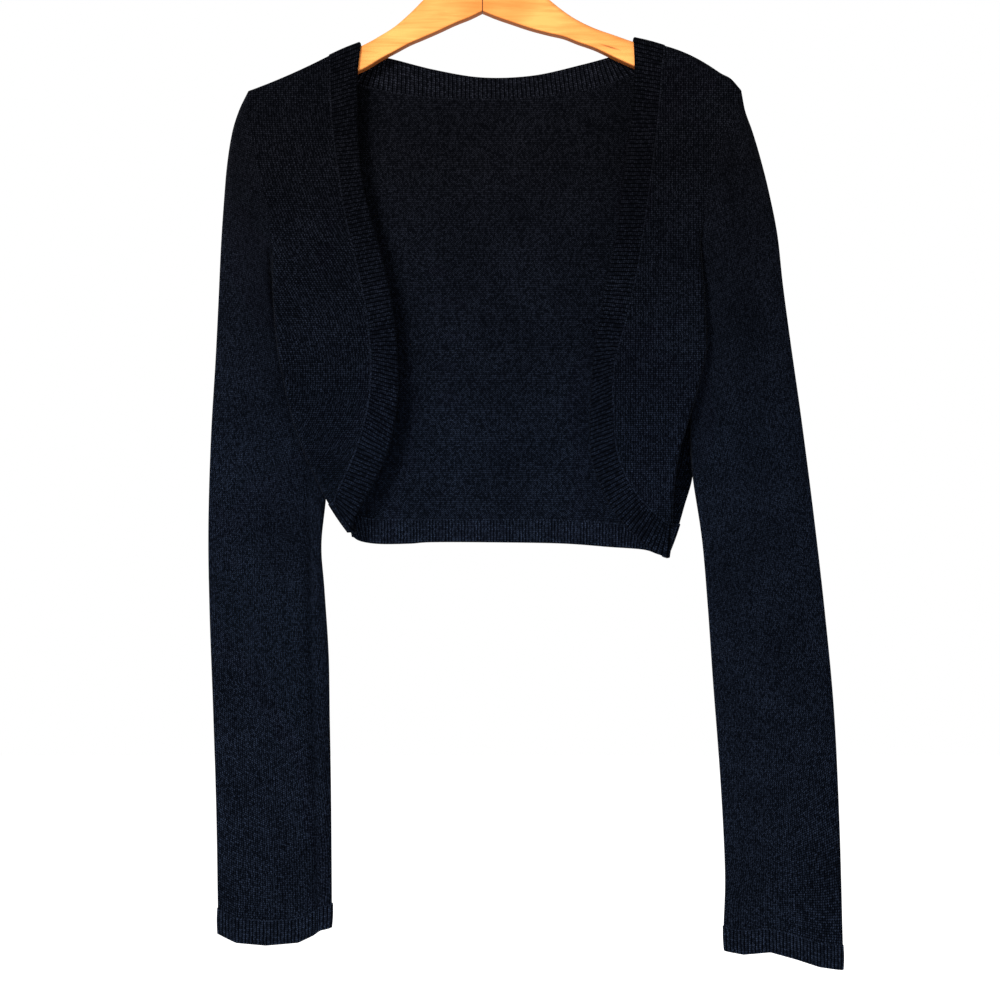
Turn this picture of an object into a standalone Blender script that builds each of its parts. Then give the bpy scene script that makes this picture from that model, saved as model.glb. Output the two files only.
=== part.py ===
"""Knitted shrug on a wooden hanger.

Metres, +Z up. +X is the viewer's right, which is the wearer's left, and the wearer faces -Y.
The origin is the top of the hook's inside, where the hanger rests on its rod.
Every cloth piece is a thin closed wall on a grid of points: rows run down the cloth, and a row's points
run across it. Below the shoulder each side of the body folds back in front of its sleeve, runs in to the
side seam and comes out again behind the sleeve, so the sleeve hangs in a groove between two folds.
"""

import math

import bpy
import numpy as np

# Driving dimensions, millimetres.
CLOTH_WALL = 1.5  # plain knit of body and sleeves
BAND_WALL = 1.7  # ribbed bands, between two ribs
RIB_RISE = 0.55  # height of a rib over the band
SEAM_GAP = 0.3
FRONT_BAND_GAP = 0.35  # between a front and its band, whose walls differ
BACK_BAND_GAP = 0.45  # between the back and its bands, on a tighter curve
TURN_GAP = 0.8  # between a panel and its band where both turn sharply round a side fold
FRONT_PITCH = 2.9  # one rib of the front bands
NECK_PITCH = 3.1
HEM_PITCH = 2.33
CUFF_PITCH = 2.55
FOLD_RADIUS = 3.0  # the body's fold in front of a sleeve, at the middle of its wall
GROOVE_END = 7.4  # how far out from the side seam the groove is fully open
SLEEVE_HALF = 5.6  # half a sleeve's depth, at the middle of its wall
BACK_DEEP = 7.6  # the back's distance from the middle plane, at the middle of its wall
HEM_DEEP = 8.4  # the same for the hem band, where it starts to turn at the sides
CORNER_DEEP = 10.0  # and for the bands at the lower corners of the fronts
ARM_DEEP = 12.0  # wooden arm, front to back
ARM_CORNER = 4.6  # rounding of its upper edges
ARM_EDGE = 2.0  # rounding of its lower edges
ARM_HIGHEST_Y = -52  # top of the arms on the middle line, in outline steps
WIRE = 1.75  # radius of the hook's wire
HOOK_RADIUS = 20.0  # middle of the wire

# Outline tables are in steps of 0.72 mm: x from left to right, y downward, on the flat front view.
STEP = 0.72
MIDDLE_X = 482.5  # the line where the two wooden arms meet
ROD_Y = -145.0  # the rod's height

# Rows of the body on the viewer's left, from the shoulder line down to the hem. band: seam of the front
# band; free: the band's free edge; fold: outermost point; seam: side seam; end: armhole or side seam; tuck:
# cloth turned back behind the fold in mm, 99 for all of it; deep: distance in mm of the layer from the
# middle plane; crown: how far the row bows upward.
SIDE_COLUMNS = "band_x band_y free_x free_y fold_x fold_y seam_x end_y tuck band_deep fold_deep crown".split()
LEFT_SIDE = [
    (331, 56.0, 360, 43.8, 248, 92.0, 329, 92.0, 0, 0.15, 0.15, -1.6),
    (331, 57.2, 360, 44.8, 248, 93.2, 329, 93.2, 0, 3.8, 3.8, -1.6),
    (331, 60.3, 360, 48.0, 247.7, 96.3, 329, 96.3, 0, 6.4, 6.4, -1.6),
    (331, 64.5, 360, 52.4, 247.5, 101, 329, 101, 0, 7.3, 7.3, -1.6),
    (331, 78, 358, 70, 248.3, 119, 329, 119, 0, 7.4, 7.4, -1),
    (332, 105, 357.2, 98, 252, 143, 329, 143, 0, 7.5, 7.8, -0.4),
    (334, 132, 357.5, 128, 257.5, 168, 329, 168, 0, 7.7, 8.4, 0),
    (338, 162, 359.5, 160, 264.5, 196, 329, 196, 0, 7.9, 9.2, 0),
    (343, 195, 364, 192, 270, 225, 329, 225, 0, 8.1, 10.3, 0),
    (348, 224, 371, 219, 273, 254, 329, 254, 3, 8.3, 11.6, 0),
    (355, 253, 379, 249, 273.5, 283, 329, 283, 7, 8.5, 12.8, 0),
    (361, 279, 385.5, 274, 275, 309, 329, 307, 12, 8.5, 14.4, 0),
    (366, 303, 390.5, 298, 276, 328, 329, 322, 16.5, 8.5, 14.4, 0),
    (369, 325, 394, 320, 278, 345, 329, 334, 26.6, 8.5, 14.4, 0),
    (371, 345, 396.5, 344, 280, 360, 329, 343, 33, 8.6, 14.4, 0),
    (372, 362, 398, 368, 283, 376, 329, 352, 99, 8.6, 14.4, 0),
    (371, 392, 397.5, 400, 289, 403, 330, 394, 99, 8.7, 14.4, 0),
    (366, 420, 392, 436, 297, 431, 331, 427, 99, 8.8, 14.4, 0),
    (358, 448, 384, 460, 306, 456, 331, 453, 99, 8.9, 14.4, 0),
    (348, 472, 374, 482, 315, 475, 331, 474, 99, 9.1, 14, 0),
    (339, 491, 362, 503, 323, 492, 332, 492, 99, 9.4, 12, 0),
    (335.5, 502, 354, 518, 330, 504, 338, 505.5, 99, 9.8, 10.5, 0),
]

# The body on the viewer's right, which hangs a little lower and folds less.
RIGHT_SIDE = [
    (663, 46.5, 634, 39.0, 741, 91.0, 683, 91.0, 0, 0.15, 0.15, 6.5),
    (663, 47.7, 634, 40.2, 741, 92.2, 683, 92.2, 0, 3.8, 3.8, 6.5),
    (663, 50.8, 634, 43.3, 741, 95.3, 683, 95.3, 0, 6.4, 6.4, 6.5),
    (663, 55.0, 634, 47.5, 740, 100, 683, 100, 0, 7.3, 7.3, 6.5),
    (661, 72, 634.8, 68, 736, 114, 683, 114, 0, 7.4, 7.4, 4.5),
    (659, 99, 633.3, 96, 726, 131, 683, 131, 0, 7.5, 7.8, 2.5),
    (656, 130, 630.5, 130, 720, 152, 683, 152, 0, 7.7, 8.4, 1),
    (651, 170, 625.5, 170, 714, 178, 683, 178, 0, 7.9, 9.2, 0),
    (646, 208, 620.5, 208, 706, 207, 683, 207, 0, 8.1, 10.3, 0),
    (641, 242, 615.5, 242, 700.5, 235, 683, 235, 3, 8.3, 11.6, 0),
    (637, 268, 610.5, 268, 701, 260, 683, 257, 7, 8.5, 12.8, 0),
    (631, 295, 605, 293, 702.5, 285, 683, 278, 10, 8.5, 14.4, 0),
    (625.5, 320, 600, 318, 704, 310, 683, 299, 12, 8.5, 14.4, 0),
    (619, 343, 596, 343, 705.5, 333, 683, 319, 15, 8.5, 14.4, 0),
    (614, 364, 592.8, 370, 705.5, 354, 683, 337, 18, 8.6, 14.4, 0),
    (612, 388, 591, 398, 701.5, 374, 683, 354, 99, 8.6, 14.4, 0),
    (613, 420, 590, 428, 694, 402, 681, 394, 99, 8.7, 14.4, 0),
    (615.5, 448, 591.5, 458, 686, 427, 677, 423, 99, 8.8, 14.4, 0),
    (622, 470, 599, 481, 679, 450, 672.5, 449, 99, 8.9, 14, 0),
    (634, 492, 612, 508, 675, 474, 668.5, 474, 99, 9.1, 13.4, 0),
    (651, 511, 635, 535, 672.5, 500, 666.5, 500, 99, 9.4, 11.8, 0),
    (664, 522, 652, 549, 671.5, 524, 666, 524, 99, 9.8, 10.5, 0),
]

# The back's fold beside each sleeve where it differs from the front's: row, fold_x, fold_y.
BACK_FOLD_RIGHT = [(16, 700, 404), (17, 698, 431), (18, 696, 456), (19, 693, 482), (20, 686, 505),
                   (21, 680, 525)]

# Height of the back's rows on the middle line, from the neck seam down to the hem seam.
BACK_MIDDLE_Y = [97.5, 112, 130, 150, 172, 200, 228, 257, 282, 305, 328, 350, 370, 399, 428, 455, 478, 500, 520]
NECK_ROW = 3  # the row of the back that starts at the neck seam
KNEE_ROW = 15  # from this row down, the back's side columns keep the x that they have here

# Seam and free edge of the neck band across the back: x, y.
NECK_SEAM = [(331, 64.5), (340, 73), (358, 82), (390, 90.5), (435, 96), (482.5, 97.5),
             (535, 95.6), (585, 88), (622, 77), (648, 65), (663, 55)]
NECK_FREE = [(360, 52.4), (365, 53.1), (372, 54.1), (392, 58), (435, 68.9), (482.5, 76.5),
             (533, 74.6), (581, 64), (611, 55.8), (624, 51.3), (634, 47.5)]

# Hem seam and hem edge on the back: x, y; the ends run round the side folds.
HEM_SEAM = [(330, 504), (340, 509), (352, 515), (366, 519), (400, 520.3), (482.5, 520), (560, 520.6),
            (610, 523.5), (645, 527), (680, 525)]
HEM_EDGE = [(347, 531), (353, 537), (361, 541), (380, 543.4), (410, 543), (430, 541.6), (482.5, 541.6),
            (560, 542.8), (610, 546.4), (644, 549), (658, 553.4), (669, 557)]

# Lower corner of each front band and of the hem: fold_x, fold_y, seam_x, seam_y.
LEFT_CORNER = (347.5, 531, 356, 532.5)
RIGHT_CORNER = (669, 557, 663.5, 556)

# Rings of the sleeves, from the armhole to the cuff seam: outer_x, outer_y, inner_x, inner_y.
LEFT_SLEEVE = [
    (248, 94, 326, 354), (239, 112, 326, 372), (232, 134, 326, 392), (227, 165, 326, 415),
    (224, 200, 326, 440), (221, 245, 326, 468), (218.5, 300, 326, 498), (215.5, 360, 321.5, 545),
    (210.8, 440, 324.6, 590), (208.3, 530, 328.8, 655), (209.6, 615, 329.8, 715), (213, 708, 331, 780),
    (216.2, 810, 331.6, 845), (217.8, 909, 332, 904),
]
RIGHT_SLEEVE = [
    (741.5, 92, 691.5, 360), (745.5, 112, 691.5, 378), (753, 133, 691, 395), (761, 160, 690.5, 412),
    (769, 192, 690, 436), (777.5, 235, 691, 460), (783, 285, 693.5, 484), (791, 345, 702, 540),
    (801.6, 420, 707.6, 605), (813.8, 515, 712.8, 680), (825, 613, 718.6, 755), (834, 710, 723, 825),
    (839.4, 820, 725, 880), (843, 946, 723.4, 927),
]
# Lower edge of each cuff: outer_x, outer_y, inner_x, inner_y.
LEFT_CUFF = (217, 933, 332, 927)
RIGHT_CUFF = (844, 969, 723.4, 950)
# How far the cuff hangs below the line between its two ends: share of the way in from the outer end, steps.
LEFT_SAG = [(0, 0), (0.16, 9), (0.43, 13), (0.72, 12), (0.85, 6), (0.92, 1.5), (1, 0)]
RIGHT_SAG = [(0, 0), (0.2, 0), (0.4, -4), (0.62, -7), (0.85, 0), (1, 0)]

# Wooden arms: x, top y, bottom y. Inside the cloth the top keeps clear of the shoulder.
ARM_LEFT = [(482.3, -52, 13), (470, -46, 19), (455, -31, 25), (440, -15, 32), (424, 0, 39), (410, 14, 45),
            (395, 27, 53), (380, 36.5, 61), (363, 45.8, 71), (331, 59.5, 84), (300, 73, 96), (272, 85.4, 106),
            (262, 90, 108), (257.5, 94, 106)]
ARM_RIGHT = [(482.7, -52, 13), (496, -46, 18.5), (512, -33, 24), (530, -17, 30), (549, 0, 35), (564, 12, 38.5),
             (578, 21, 44), (595, 29, 50), (615, 36, 59.5), (634, 42.7, 68), (648, 46.7, 73), (663, 50.5, 78),
             (671, 53.3, 81), (690, 61.2, 88), (712, 72.5, 97), (722, 79.5, 100), (727, 85, 98)]

COLOURS = {
    "cloth": (0.012, 0.014, 0.019, 1.0),
    "wood": (0.78, 0.42, 0.17, 1.0),
    "metal": (0.72, 0.72, 0.74, 1.0),
}


def material(name, kind):
    """A Principled material with the colour and finish of cloth, wood or metal."""
    made = bpy.data.materials.new(name)
    made.use_nodes = True
    shader = made.node_tree.nodes["Principled BSDF"]
    shader.inputs["Base Color"].default_value = COLOURS[kind]
    shader.inputs["Roughness"].default_value = {"cloth": 0.9, "wood": 0.45, "metal": 0.25}[kind]
    shader.inputs["Metallic"].default_value = 1.0 if kind == "metal" else 0.0
    return made


def add_piece(name, points, faces, kind):
    """A named object from points in millimetres and faces."""
    mesh = bpy.data.meshes.new(name)
    mesh.from_pydata([tuple(point) for point in np.asarray(points) * 0.001], [], faces)
    mesh.materials.append(material(name + "_material", kind))
    mesh.update()
    mesh.shade_smooth()
    mesh.set_sharp_from_angle(angle=math.radians(50))
    piece = bpy.data.objects.new(name, mesh)
    bpy.context.collection.objects.link(piece)
    return piece


def width_mm(x):
    """X in millimetres of an outline x."""
    return (np.asarray(x, float) - MIDDLE_X) * STEP


def height_mm(y):
    """Z in millimetres of an outline y."""
    return -(np.asarray(y, float) - ROD_Y) * STEP


def table(rows, columns):
    """The rows of a table as one named array per column."""
    values = np.array(rows, float)
    return {column: values[:, index] for index, column in enumerate(columns)}


def normals(grid, closed=False):
    """Unit normals of a grid: across the rows times down the columns."""
    if closed:
        across = np.roll(grid, -1, 1) - np.roll(grid, 1, 1)
    else:
        across = np.gradient(grid, axis=1)
    down = np.gradient(grid, axis=0)
    normal = np.cross(across, down)
    return normal / np.linalg.norm(normal, axis=2, keepdims=True)


def wall(name, grid, normal, thickness, closed=False, missing=None):
    """A closed wall: outer points along the normals by half the thickness, inner points on the other side,
    and a rim along every free edge. missing marks grid cells left out."""
    across = np.roll(grid, -1, 1) - grid if closed else np.gradient(grid, axis=1)
    if (np.cross(across, np.gradient(grid, axis=0)) * normal).sum() < 0:
        grid, normal = grid[:, ::-1], normal[:, ::-1]
        missing = None if missing is None else missing[:, ::-1]
    rows, columns = grid.shape[:2]
    outer = grid + normal * thickness / 2
    inner = grid - normal * thickness / 2
    points = np.concatenate([outer.reshape(-1, 3), inner.reshape(-1, 3)])
    shift = rows * columns
    faces = []
    borders = {}
    for row in range(rows - 1):
        for column in range(columns if closed else columns - 1):
            if missing is not None and missing[row, column]:
                continue
            beside = (column + 1) % columns
            ring = [row * columns + column, row * columns + beside,
                    (row + 1) * columns + beside, (row + 1) * columns + column]
            shorter = (np.linalg.norm(points[ring[0]] - points[ring[2]])
                       <= np.linalg.norm(points[ring[1]] - points[ring[3]]))
            for part in ((0, 1, 2), (0, 2, 3)) if shorter else ((0, 1, 3), (1, 2, 3)):
                faces.append([ring[corner] for corner in part])
                faces.append([ring[corner] + shift for corner in part[::-1]])
            for start, end in zip(ring, ring[1:] + ring[:1]):
                if (end, start) in borders:
                    del borders[(end, start)]
                else:
                    borders[(start, end)] = True
    for start, end in borders:
        faces.append([end, start, start + shift, end + shift])
    used = sorted({point for face in faces for point in face})
    renumber = {point: index for index, point in enumerate(used)}
    faces = [[renumber[point] for point in face] for face in faces]
    return add_piece(name, points[used], faces, "cloth")


def resample(line, lengths):
    """Points of a polyline at the given lengths along it."""
    pieces = np.linalg.norm(np.diff(line, axis=0), axis=1)
    along = np.concatenate([[0], np.cumsum(pieces)])
    return np.stack([np.interp(lengths, along, line[:, axis]) for axis in range(line.shape[1])], axis=1)


def line_length(line):
    """Length of a polyline."""
    return np.linalg.norm(np.diff(line, axis=0), axis=1).sum()


TURN_CELLS = 6  # cells from the start of a fold to the side seam


def turn_marks(kept, arc, full):
    """Lengths from the start of a fold to its end: three cells round the arc when it is all there."""
    if kept >= full - 1e-6:
        rest = full - arc
        return np.array([0, arc / 3, arc * 2 / 3, arc, arc + rest * 0.4, arc + rest * 0.78, full])
    if kept > arc * 1.3:
        return np.concatenate([np.linspace(0, arc, 4), np.linspace(arc, kept, 4)[1:]])
    return np.linspace(0, kept, TURN_CELLS + 1)


def level(start, fold, seam_x, end_y, depths, tuck, crown, across, inset, power=2.0, bottom=None):
    """One row of cloth on the front, from start out to the fold and back to the side seam.

    start and fold are x, y in outline steps; depths are the layer's distances from the middle plane there.
    The layer is straight apart from the crown or the bottom curve, turns on an arc, runs back at the
    groove's depth and closes to the middle plane on a quarter ellipse. across gives the shares of the
    layer's own points; six more follow on the last stretch. Returns points in mm with y from the front.
    """
    side = 1.0 if fold[0] > start[0] else -1.0
    begin = side * width_mm(start[0])
    outmost = side * width_mm(fold[0]) - inset
    inmost = side * width_mm(seam_x)
    radius = min(FOLD_RADIUS, 0.42 * (outmost - inmost)) if tuck else FOLD_RADIUS
    angle = min(tuck / radius, math.pi / 2)
    arc_start = outmost - radius * math.sin(angle)
    share = np.linspace(0, 1, 25)
    layer_x = begin + (arc_start - begin) * share
    layer_y = -(depths[0] + (depths[1] - depths[0]) * share ** power)
    turn = np.linspace(0, math.pi, 19)[1:]
    arc_x = arc_start + radius * np.sin(turn)
    arc_y = -depths[1] + radius * (1 - np.cos(turn))
    reach = min(GROOVE_END, outmost - radius - inmost)
    close = np.linspace(0, math.pi / 2, 13)
    close_x = inmost + reach * (1 - np.sin(close))
    close_y = -0.15 - (depths[1] - 2 * radius - 0.15) * np.cos(close)
    turned = np.stack([np.concatenate([layer_x[-1:], arc_x, close_x]),
                       np.concatenate([layer_y[-1:], arc_y, close_y])], axis=1)
    full = line_length(turned)
    kept = min(tuck, full)
    keep = np.linspace(0, kept, 60) if kept > 0 else np.zeros(1)
    turned = resample(turned, keep)
    flat = np.concatenate([np.stack([layer_x, layer_y], axis=1), turned[1:]])
    along = np.concatenate([[0], np.cumsum(np.linalg.norm(np.diff(flat, axis=0), axis=1))])
    layer_end = along[len(layer_x) - 1]
    heights = np.interp(along, [0, layer_end, layer_end + max(kept, 1e-6)], [start[1], fold[1], end_y])
    part = np.clip(along / max(layer_end, 1e-6), 0, 1)
    heights = heights - crown * 4 * part * (1 - part)
    if bottom is not None:
        heights = bottom(side * flat[:, 0] / STEP + MIDDLE_X, heights, part)
    path = np.column_stack([side * flat[:, 0], flat[:, 1], height_mm(heights)])
    total = line_length(path)
    if kept < 6:
        marks = np.linspace(0, 6, TURN_CELLS + 1)
    else:
        marks = turn_marks(kept, math.pi * radius, full)
    scale = line_length(path[len(layer_x) - 1:]) / kept if kept > 6 else 1.0
    first = total - marks[-1] * scale
    lengths = np.concatenate([np.asarray(across) * first, first + marks[1:] * scale])
    return resample(path, lengths)


def mirror_depth(points):
    """The same points on the back."""
    return points * np.array([1.0, -1.0, 1.0])


def flatten_middle(grid, normal):
    """Edges that meet the other half on the middle plane stand in that plane."""
    near = np.abs(grid[:, :, 1]) < 0.2
    normal = normal.copy()
    normal[near, 1] = 0
    return normal / np.linalg.norm(normal, axis=2, keepdims=True)


SHARED_ROWS = 9  # rows whose armhole edge meets the sleeve end to end; the sleeve starts behind the rest
ARMHOLE_GAP = 0.55  # the seam bends sharply at the shoulder
UNDERARM_HALF = 3.6  # half the sleeve's depth just before the underarm point
LAP_DEPTH = 1.9  # how far behind the body's turned edge the sleeve starts
SPREAD = [0, 3.5, 4.5, 4, 3, 1.5]  # how far the sleeve's first rings move out from the armhole
FRONT_ACROSS = np.linspace(0, 1, 5)
BACK_ACROSS = np.linspace(0, 1, 4)
HIDDEN_ROW_RISE = 12  # outline steps between the back's rows over the neck, which have no cells
# Columns of the back between the two ends of the neck seam, as shares of the distance between them.
MIDDLE_SHARES = (np.array(NECK_SEAM)[1:-1, 0] - NECK_SEAM[0][0]) / (NECK_SEAM[-1][0] - NECK_SEAM[0][0])


def front_grid(side):
    """Rows of a front panel: from the band seam to the armhole or side seam."""
    rows = []
    for index in range(len(side["band_x"])):
        rows.append(level(
            (side["band_x"][index], side["band_y"][index]),
            (side["fold_x"][index], side["fold_y"][index]),
            side["seam_x"][index], side["end_y"][index],
            (side["band_deep"][index], side["fold_deep"][index]),
            side["tuck"][index], side["crown"][index], FRONT_ACROSS, CLOTH_WALL / 2,
        ))
    return np.array(rows)


def back_grid(left, right):
    """Rows of the back from one side seam to the other, and the cells left out for the neck."""
    neck_x, neck_y = np.array(NECK_SEAM).T
    hem_x, hem_y = np.array(HEM_SEAM).T
    count = len(left["band_x"])
    rows = []
    for index in range(count):
        last = index == count - 1
        fade = float(np.clip((index - 9) / (count - 10), 0, 1)) ** 2
        halves = []
        knees = []
        for side in (left, right):
            knee_x = side["band_x"][min(index, KNEE_ROW)]
            knee_y = side["band_y"][min(index, KNEE_ROW)]
            depth = side["band_deep"][index] if index < 5 else BACK_DEEP
            if index > KNEE_ROW:
                low = np.interp(knee_x, hem_x, hem_y)
                knee_y += (low - knee_y) * (index - KNEE_ROW) / (count - 1 - KNEE_ROW)
                depth = BACK_DEEP + (side["fold_deep"][index] - BACK_DEEP) * 0.3
            fold = (side["fold_x"][index], side["fold_y"][index])
            knees.append((knee_x, knee_y))

            def hem_line(x, heights, part, straight=sorted([fold, (knee_x, knee_y)])):
                """The last row's layer follows the hem seam, not a straight line."""
                moved = heights + np.interp(x, hem_x, hem_y) - np.interp(x, *zip(*straight))
                return np.where(part < 1, moved, heights)

            halves.append(mirror_depth(level(
                knees[-1], fold, side["seam_x"][index], side["end_y"][index], (depth, side["fold_deep"][index]),
                side["tuck"][index], side["crown"][index], BACK_ACROSS, CLOTH_WALL / 2,
                bottom=hem_line if last else None)))
        (first_x, first_y), (last_x, last_y) = knees
        across_x = first_x + (last_x - first_x) * MIDDLE_SHARES
        middle_y = BACK_MIDDLE_Y[max(index - NECK_ROW, 0)]
        heights = np.interp(across_x, [first_x, MIDDLE_X, last_x], [first_y, middle_y, last_y])
        neck_share = float(np.clip(1 - (index - NECK_ROW) / 6, 0, 1))
        for line_x, line_y, amount in ((neck_x, neck_y, neck_share), (hem_x, hem_y, fade)):
            ends = [first_x, MIDDLE_X, last_x]
            chord = np.interp(across_x, ends, np.interp(ends, line_x, line_y))
            heights += (np.interp(across_x, line_x, line_y) - chord) * amount
        heights -= HIDDEN_ROW_RISE * max(NECK_ROW - index, 0)
        deep = np.interp(MIDDLE_SHARES, [0, 0.25, 0.75, 1],
                         [halves[0][0][1], BACK_DEEP, BACK_DEEP, halves[1][0][1]])
        centre = np.column_stack([width_mm(across_x), deep, height_mm(heights)])
        rows.append(np.concatenate([halves[0][::-1], centre, halves[1]]))
    grid = np.array(rows)
    missing = np.zeros((count - 1, grid.shape[1] - 1), bool)
    side_points = len(BACK_ACROSS) + TURN_CELLS
    missing[:NECK_ROW, side_points - 1:-(side_points - 1)] = True
    return grid, missing


def band_lines(stations, free, gap, ends=(0, 0)):
    """The two long edges of a band, the first one held off its panel by the seam's gap. ends counts the
    stations at the start and the finish where the band turns sharply and needs a wider gap."""
    gap = np.full((len(stations), 1), float(gap))
    gap[:ends[0]] = TURN_GAP
    gap[len(stations) - ends[1]:] = TURN_GAP
    across = free - stations
    across = across / np.linalg.norm(across, axis=1, keepdims=True)
    return stations + across * gap, free


def ribbed(name, seam_line, free_line, pitch, outward, closed=False):
    """A band between two long edges, one rib for every pitch. The outer face rises to each rib's crest;
    the inner face is plain, one cell to a rib."""
    middle = (seam_line + free_line) / 2
    if closed:
        middle = np.vstack([middle, middle[:1]])
        seam_line = np.vstack([seam_line, seam_line[:1]])
        free_line = np.vstack([free_line, free_line[:1]])
    along = np.concatenate([[0], np.cumsum(np.linalg.norm(np.diff(middle, axis=0), axis=1))])
    ribs = int(round(along[-1] / pitch))
    lengths = np.linspace(0, along[-1], 2 * ribs + 1)
    if closed:
        lengths = lengths[:-1]
    edges = []
    for line in (seam_line, free_line):
        edges.append(np.stack([np.interp(lengths, along, line[:, axis]) for axis in range(3)], axis=1))
    grid = np.array(edges)
    normal = normals(grid, closed)
    if (normal * outward(grid)).sum() < 0:
        normal = -normal
    if not closed:
        normal = flatten_middle(grid, normal)
    facing = (np.cross(np.gradient(grid, axis=1), np.gradient(grid, axis=0)) * normal).sum() > 0
    rise = np.where(np.arange(grid.shape[1]) % 2 == 1, RIB_RISE, 0.0)[None, :, None]
    outer = grid + normal * (BAND_WALL / 2 + rise)
    inner = (grid - normal * BAND_WALL / 2)[:, ::2]
    count = grid.shape[1]
    plain = inner.shape[1]
    seam_out, free_out, seam_in, free_in = 0, count, 2 * count, 2 * count + plain
    faces = []
    for rib in range(ribs):
        low, top, high = 2 * rib, 2 * rib + 1, (2 * rib + 2) % count if closed else 2 * rib + 2
        last = (rib + 1) % plain if closed else rib + 1
        faces.append([seam_out + low, seam_out + top, free_out + top, free_out + low])
        faces.append([seam_out + top, seam_out + high, free_out + high, free_out + top])
        faces.append([seam_in + rib, free_in + rib, free_in + last, seam_in + last])
        for out, plain_in, order in ((seam_out, seam_in, 1), (free_out, free_in, -1)):
            rim = [out + low, plain_in + rib, plain_in + last, out + high]
            for first, second in zip(rim, rim[1:]):
                faces.append([out + top, first, second][::order])
    if not closed:
        faces.append([seam_out, free_out, free_in, seam_in])
        faces.append([seam_out + count - 1, seam_in + plain - 1, free_in + plain - 1, free_out + count - 1])
    if not facing:
        faces = [face[::-1] for face in faces]
    points = np.concatenate([outer.reshape(-1, 3), inner.reshape(-1, 3)])
    return add_piece(name, points, faces, "cloth")


def from_middle(grid):
    """Directions that point away from the middle plane."""
    return grid * np.array([0.0, 1.0, 0.0])


def clear_scene():
    """Removes every object."""
    for thing in list(bpy.data.objects):
        bpy.data.objects.remove(thing, do_unlink=True)


def section(outer, inner, half, angles, inset, sag, side):
    """A flattened ring of a sleeve between two points given in outline steps; angle 0 is the outer end
    and the front comes first."""
    share = (1 - np.cos(angles)) / 2
    first = np.array([width_mm(outer[0]) - side * inset, height_mm(outer[1])])
    last = np.array([width_mm(inner[0]) + side * inset, height_mm(inner[1])])
    drop = np.interp(share, *np.array(sag).T) * STEP
    x = first[0] + (last[0] - first[0]) * share
    z = first[1] + (last[1] - first[1]) * share - drop
    bulge = np.sign(np.sin(angles)) * np.abs(np.sin(angles)) ** 0.75
    return np.column_stack([x, -half * bulge, z])


def stay_behind(ring, side_table, side):
    """A ring of a sleeve with its depth held inside the groove wherever the body's fold is in front of it."""
    heights = -ring[:, 2] / STEP + ROD_Y
    fold = side * np.interp(heights, side_table["fold_y"][9:], width_mm(side_table["fold_x"][9:]))
    outside = side * ring[:, 0] - fold
    limit = SLEEVE_HALF + np.clip(outside - 1.6, 0, 20) * 0.8
    depth = np.abs(ring[:, 1])
    held = np.where(heights > side_table["fold_y"][9], np.minimum(depth, limit), depth)
    return np.column_stack([ring[:, 0], np.sign(ring[:, 1]) * held, ring[:, 2]])


def sleeve_grid(panel, rows, sag, side, side_table):
    """Rings of a sleeve: the first follows the armhole, the rest flatten toward the cuff."""
    under = 15
    half_turn = np.linspace(0, math.pi, under + 1)
    angles = np.concatenate([half_turn, half_turn[1:-1] + math.pi])
    edge = panel[:under + 1, -1]
    before = panel[:under + 1, -2]
    outward = edge - before
    outward = outward / np.linalg.norm(outward, axis=1, keepdims=True)
    tuck = side_table["tuck"][:under + 1]
    depth = np.abs(edge[:, 1])
    below = np.where(tuck > 0, np.maximum(depth - LAP_DEPTH, SLEEVE_HALF), depth)
    below[tuck > 8] = SLEEVE_HALF
    below[under - 1] = UNDERARM_HALF
    lap = np.where((tuck > 5) & (tuck < 8), 0.8, 0.0)
    lap[(tuck > 0) & (tuck < 5)] = -0.6
    armhole = edge + outward * np.where(tuck > 0, 0, ARMHOLE_GAP)[:, None]
    armhole[:, 0] -= side * lap
    armhole[:, 1] = -below
    armhole[0, 1] = 0
    armhole[under] = [width_mm(rows[0][2]) + side * CLOTH_WALL / 2, 0, height_mm(rows[0][3])]
    loop = np.concatenate([armhole, mirror_depth(armhole[1:-1][::-1])])
    plain_first = section(rows[0][:2], rows[0][2:], SLEEVE_HALF, angles, CLOTH_WALL / 2, [(0, 0), (1, 0)], side)
    rings = []
    for index, row in enumerate(rows):
        hang = max(0.0, (index - 9) / (len(rows) - 10)) ** 1.5
        ring_sag = [(share, drop * hang) for share, drop in sag]
        ring = section(row[:2], row[2:], SLEEVE_HALF, angles, CLOTH_WALL / 2, ring_sag, side)
        fade = max(0.0, 1 - index / 6) ** 1.5
        ring = ring + (loop - plain_first) * fade
        if index < len(SPREAD):
            ring[:, 0] += side * SPREAD[index] * np.sin(angles) ** 2
        rings.append(stay_behind(ring, side_table, side) if index else ring)
    return np.array(rings)


def ring_normals(grid):
    """Outward normals of a tube's grid."""
    normal = normals(grid, closed=True)
    centre = grid.mean(axis=1, keepdims=True)
    if ((grid - centre) * normal).sum() < 0:
        normal = -normal
    return normal


def cuff(name, ring, low, sag, side):
    """The ribbed cuff under a sleeve's last ring."""
    count = 61
    angles = np.linspace(0, 2 * math.pi, count)[:-1]
    known = np.concatenate([np.linspace(0, math.pi, 16), np.linspace(math.pi, 2 * math.pi, 16)[1:]])
    closed_ring = np.vstack([ring, ring[:1]])
    top = np.stack([np.interp(angles, known, closed_ring[:, axis]) for axis in range(3)], axis=1)
    bottom = section(low[:2], low[2:], SLEEVE_HALF - 0.3, angles, BAND_WALL / 2 + RIB_RISE, sag, side)
    top[:, 2] -= SEAM_GAP
    return ribbed(name, top, bottom, CUFF_PITCH, lambda grid: grid - grid.mean(axis=(0, 1)), closed=True)


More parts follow.
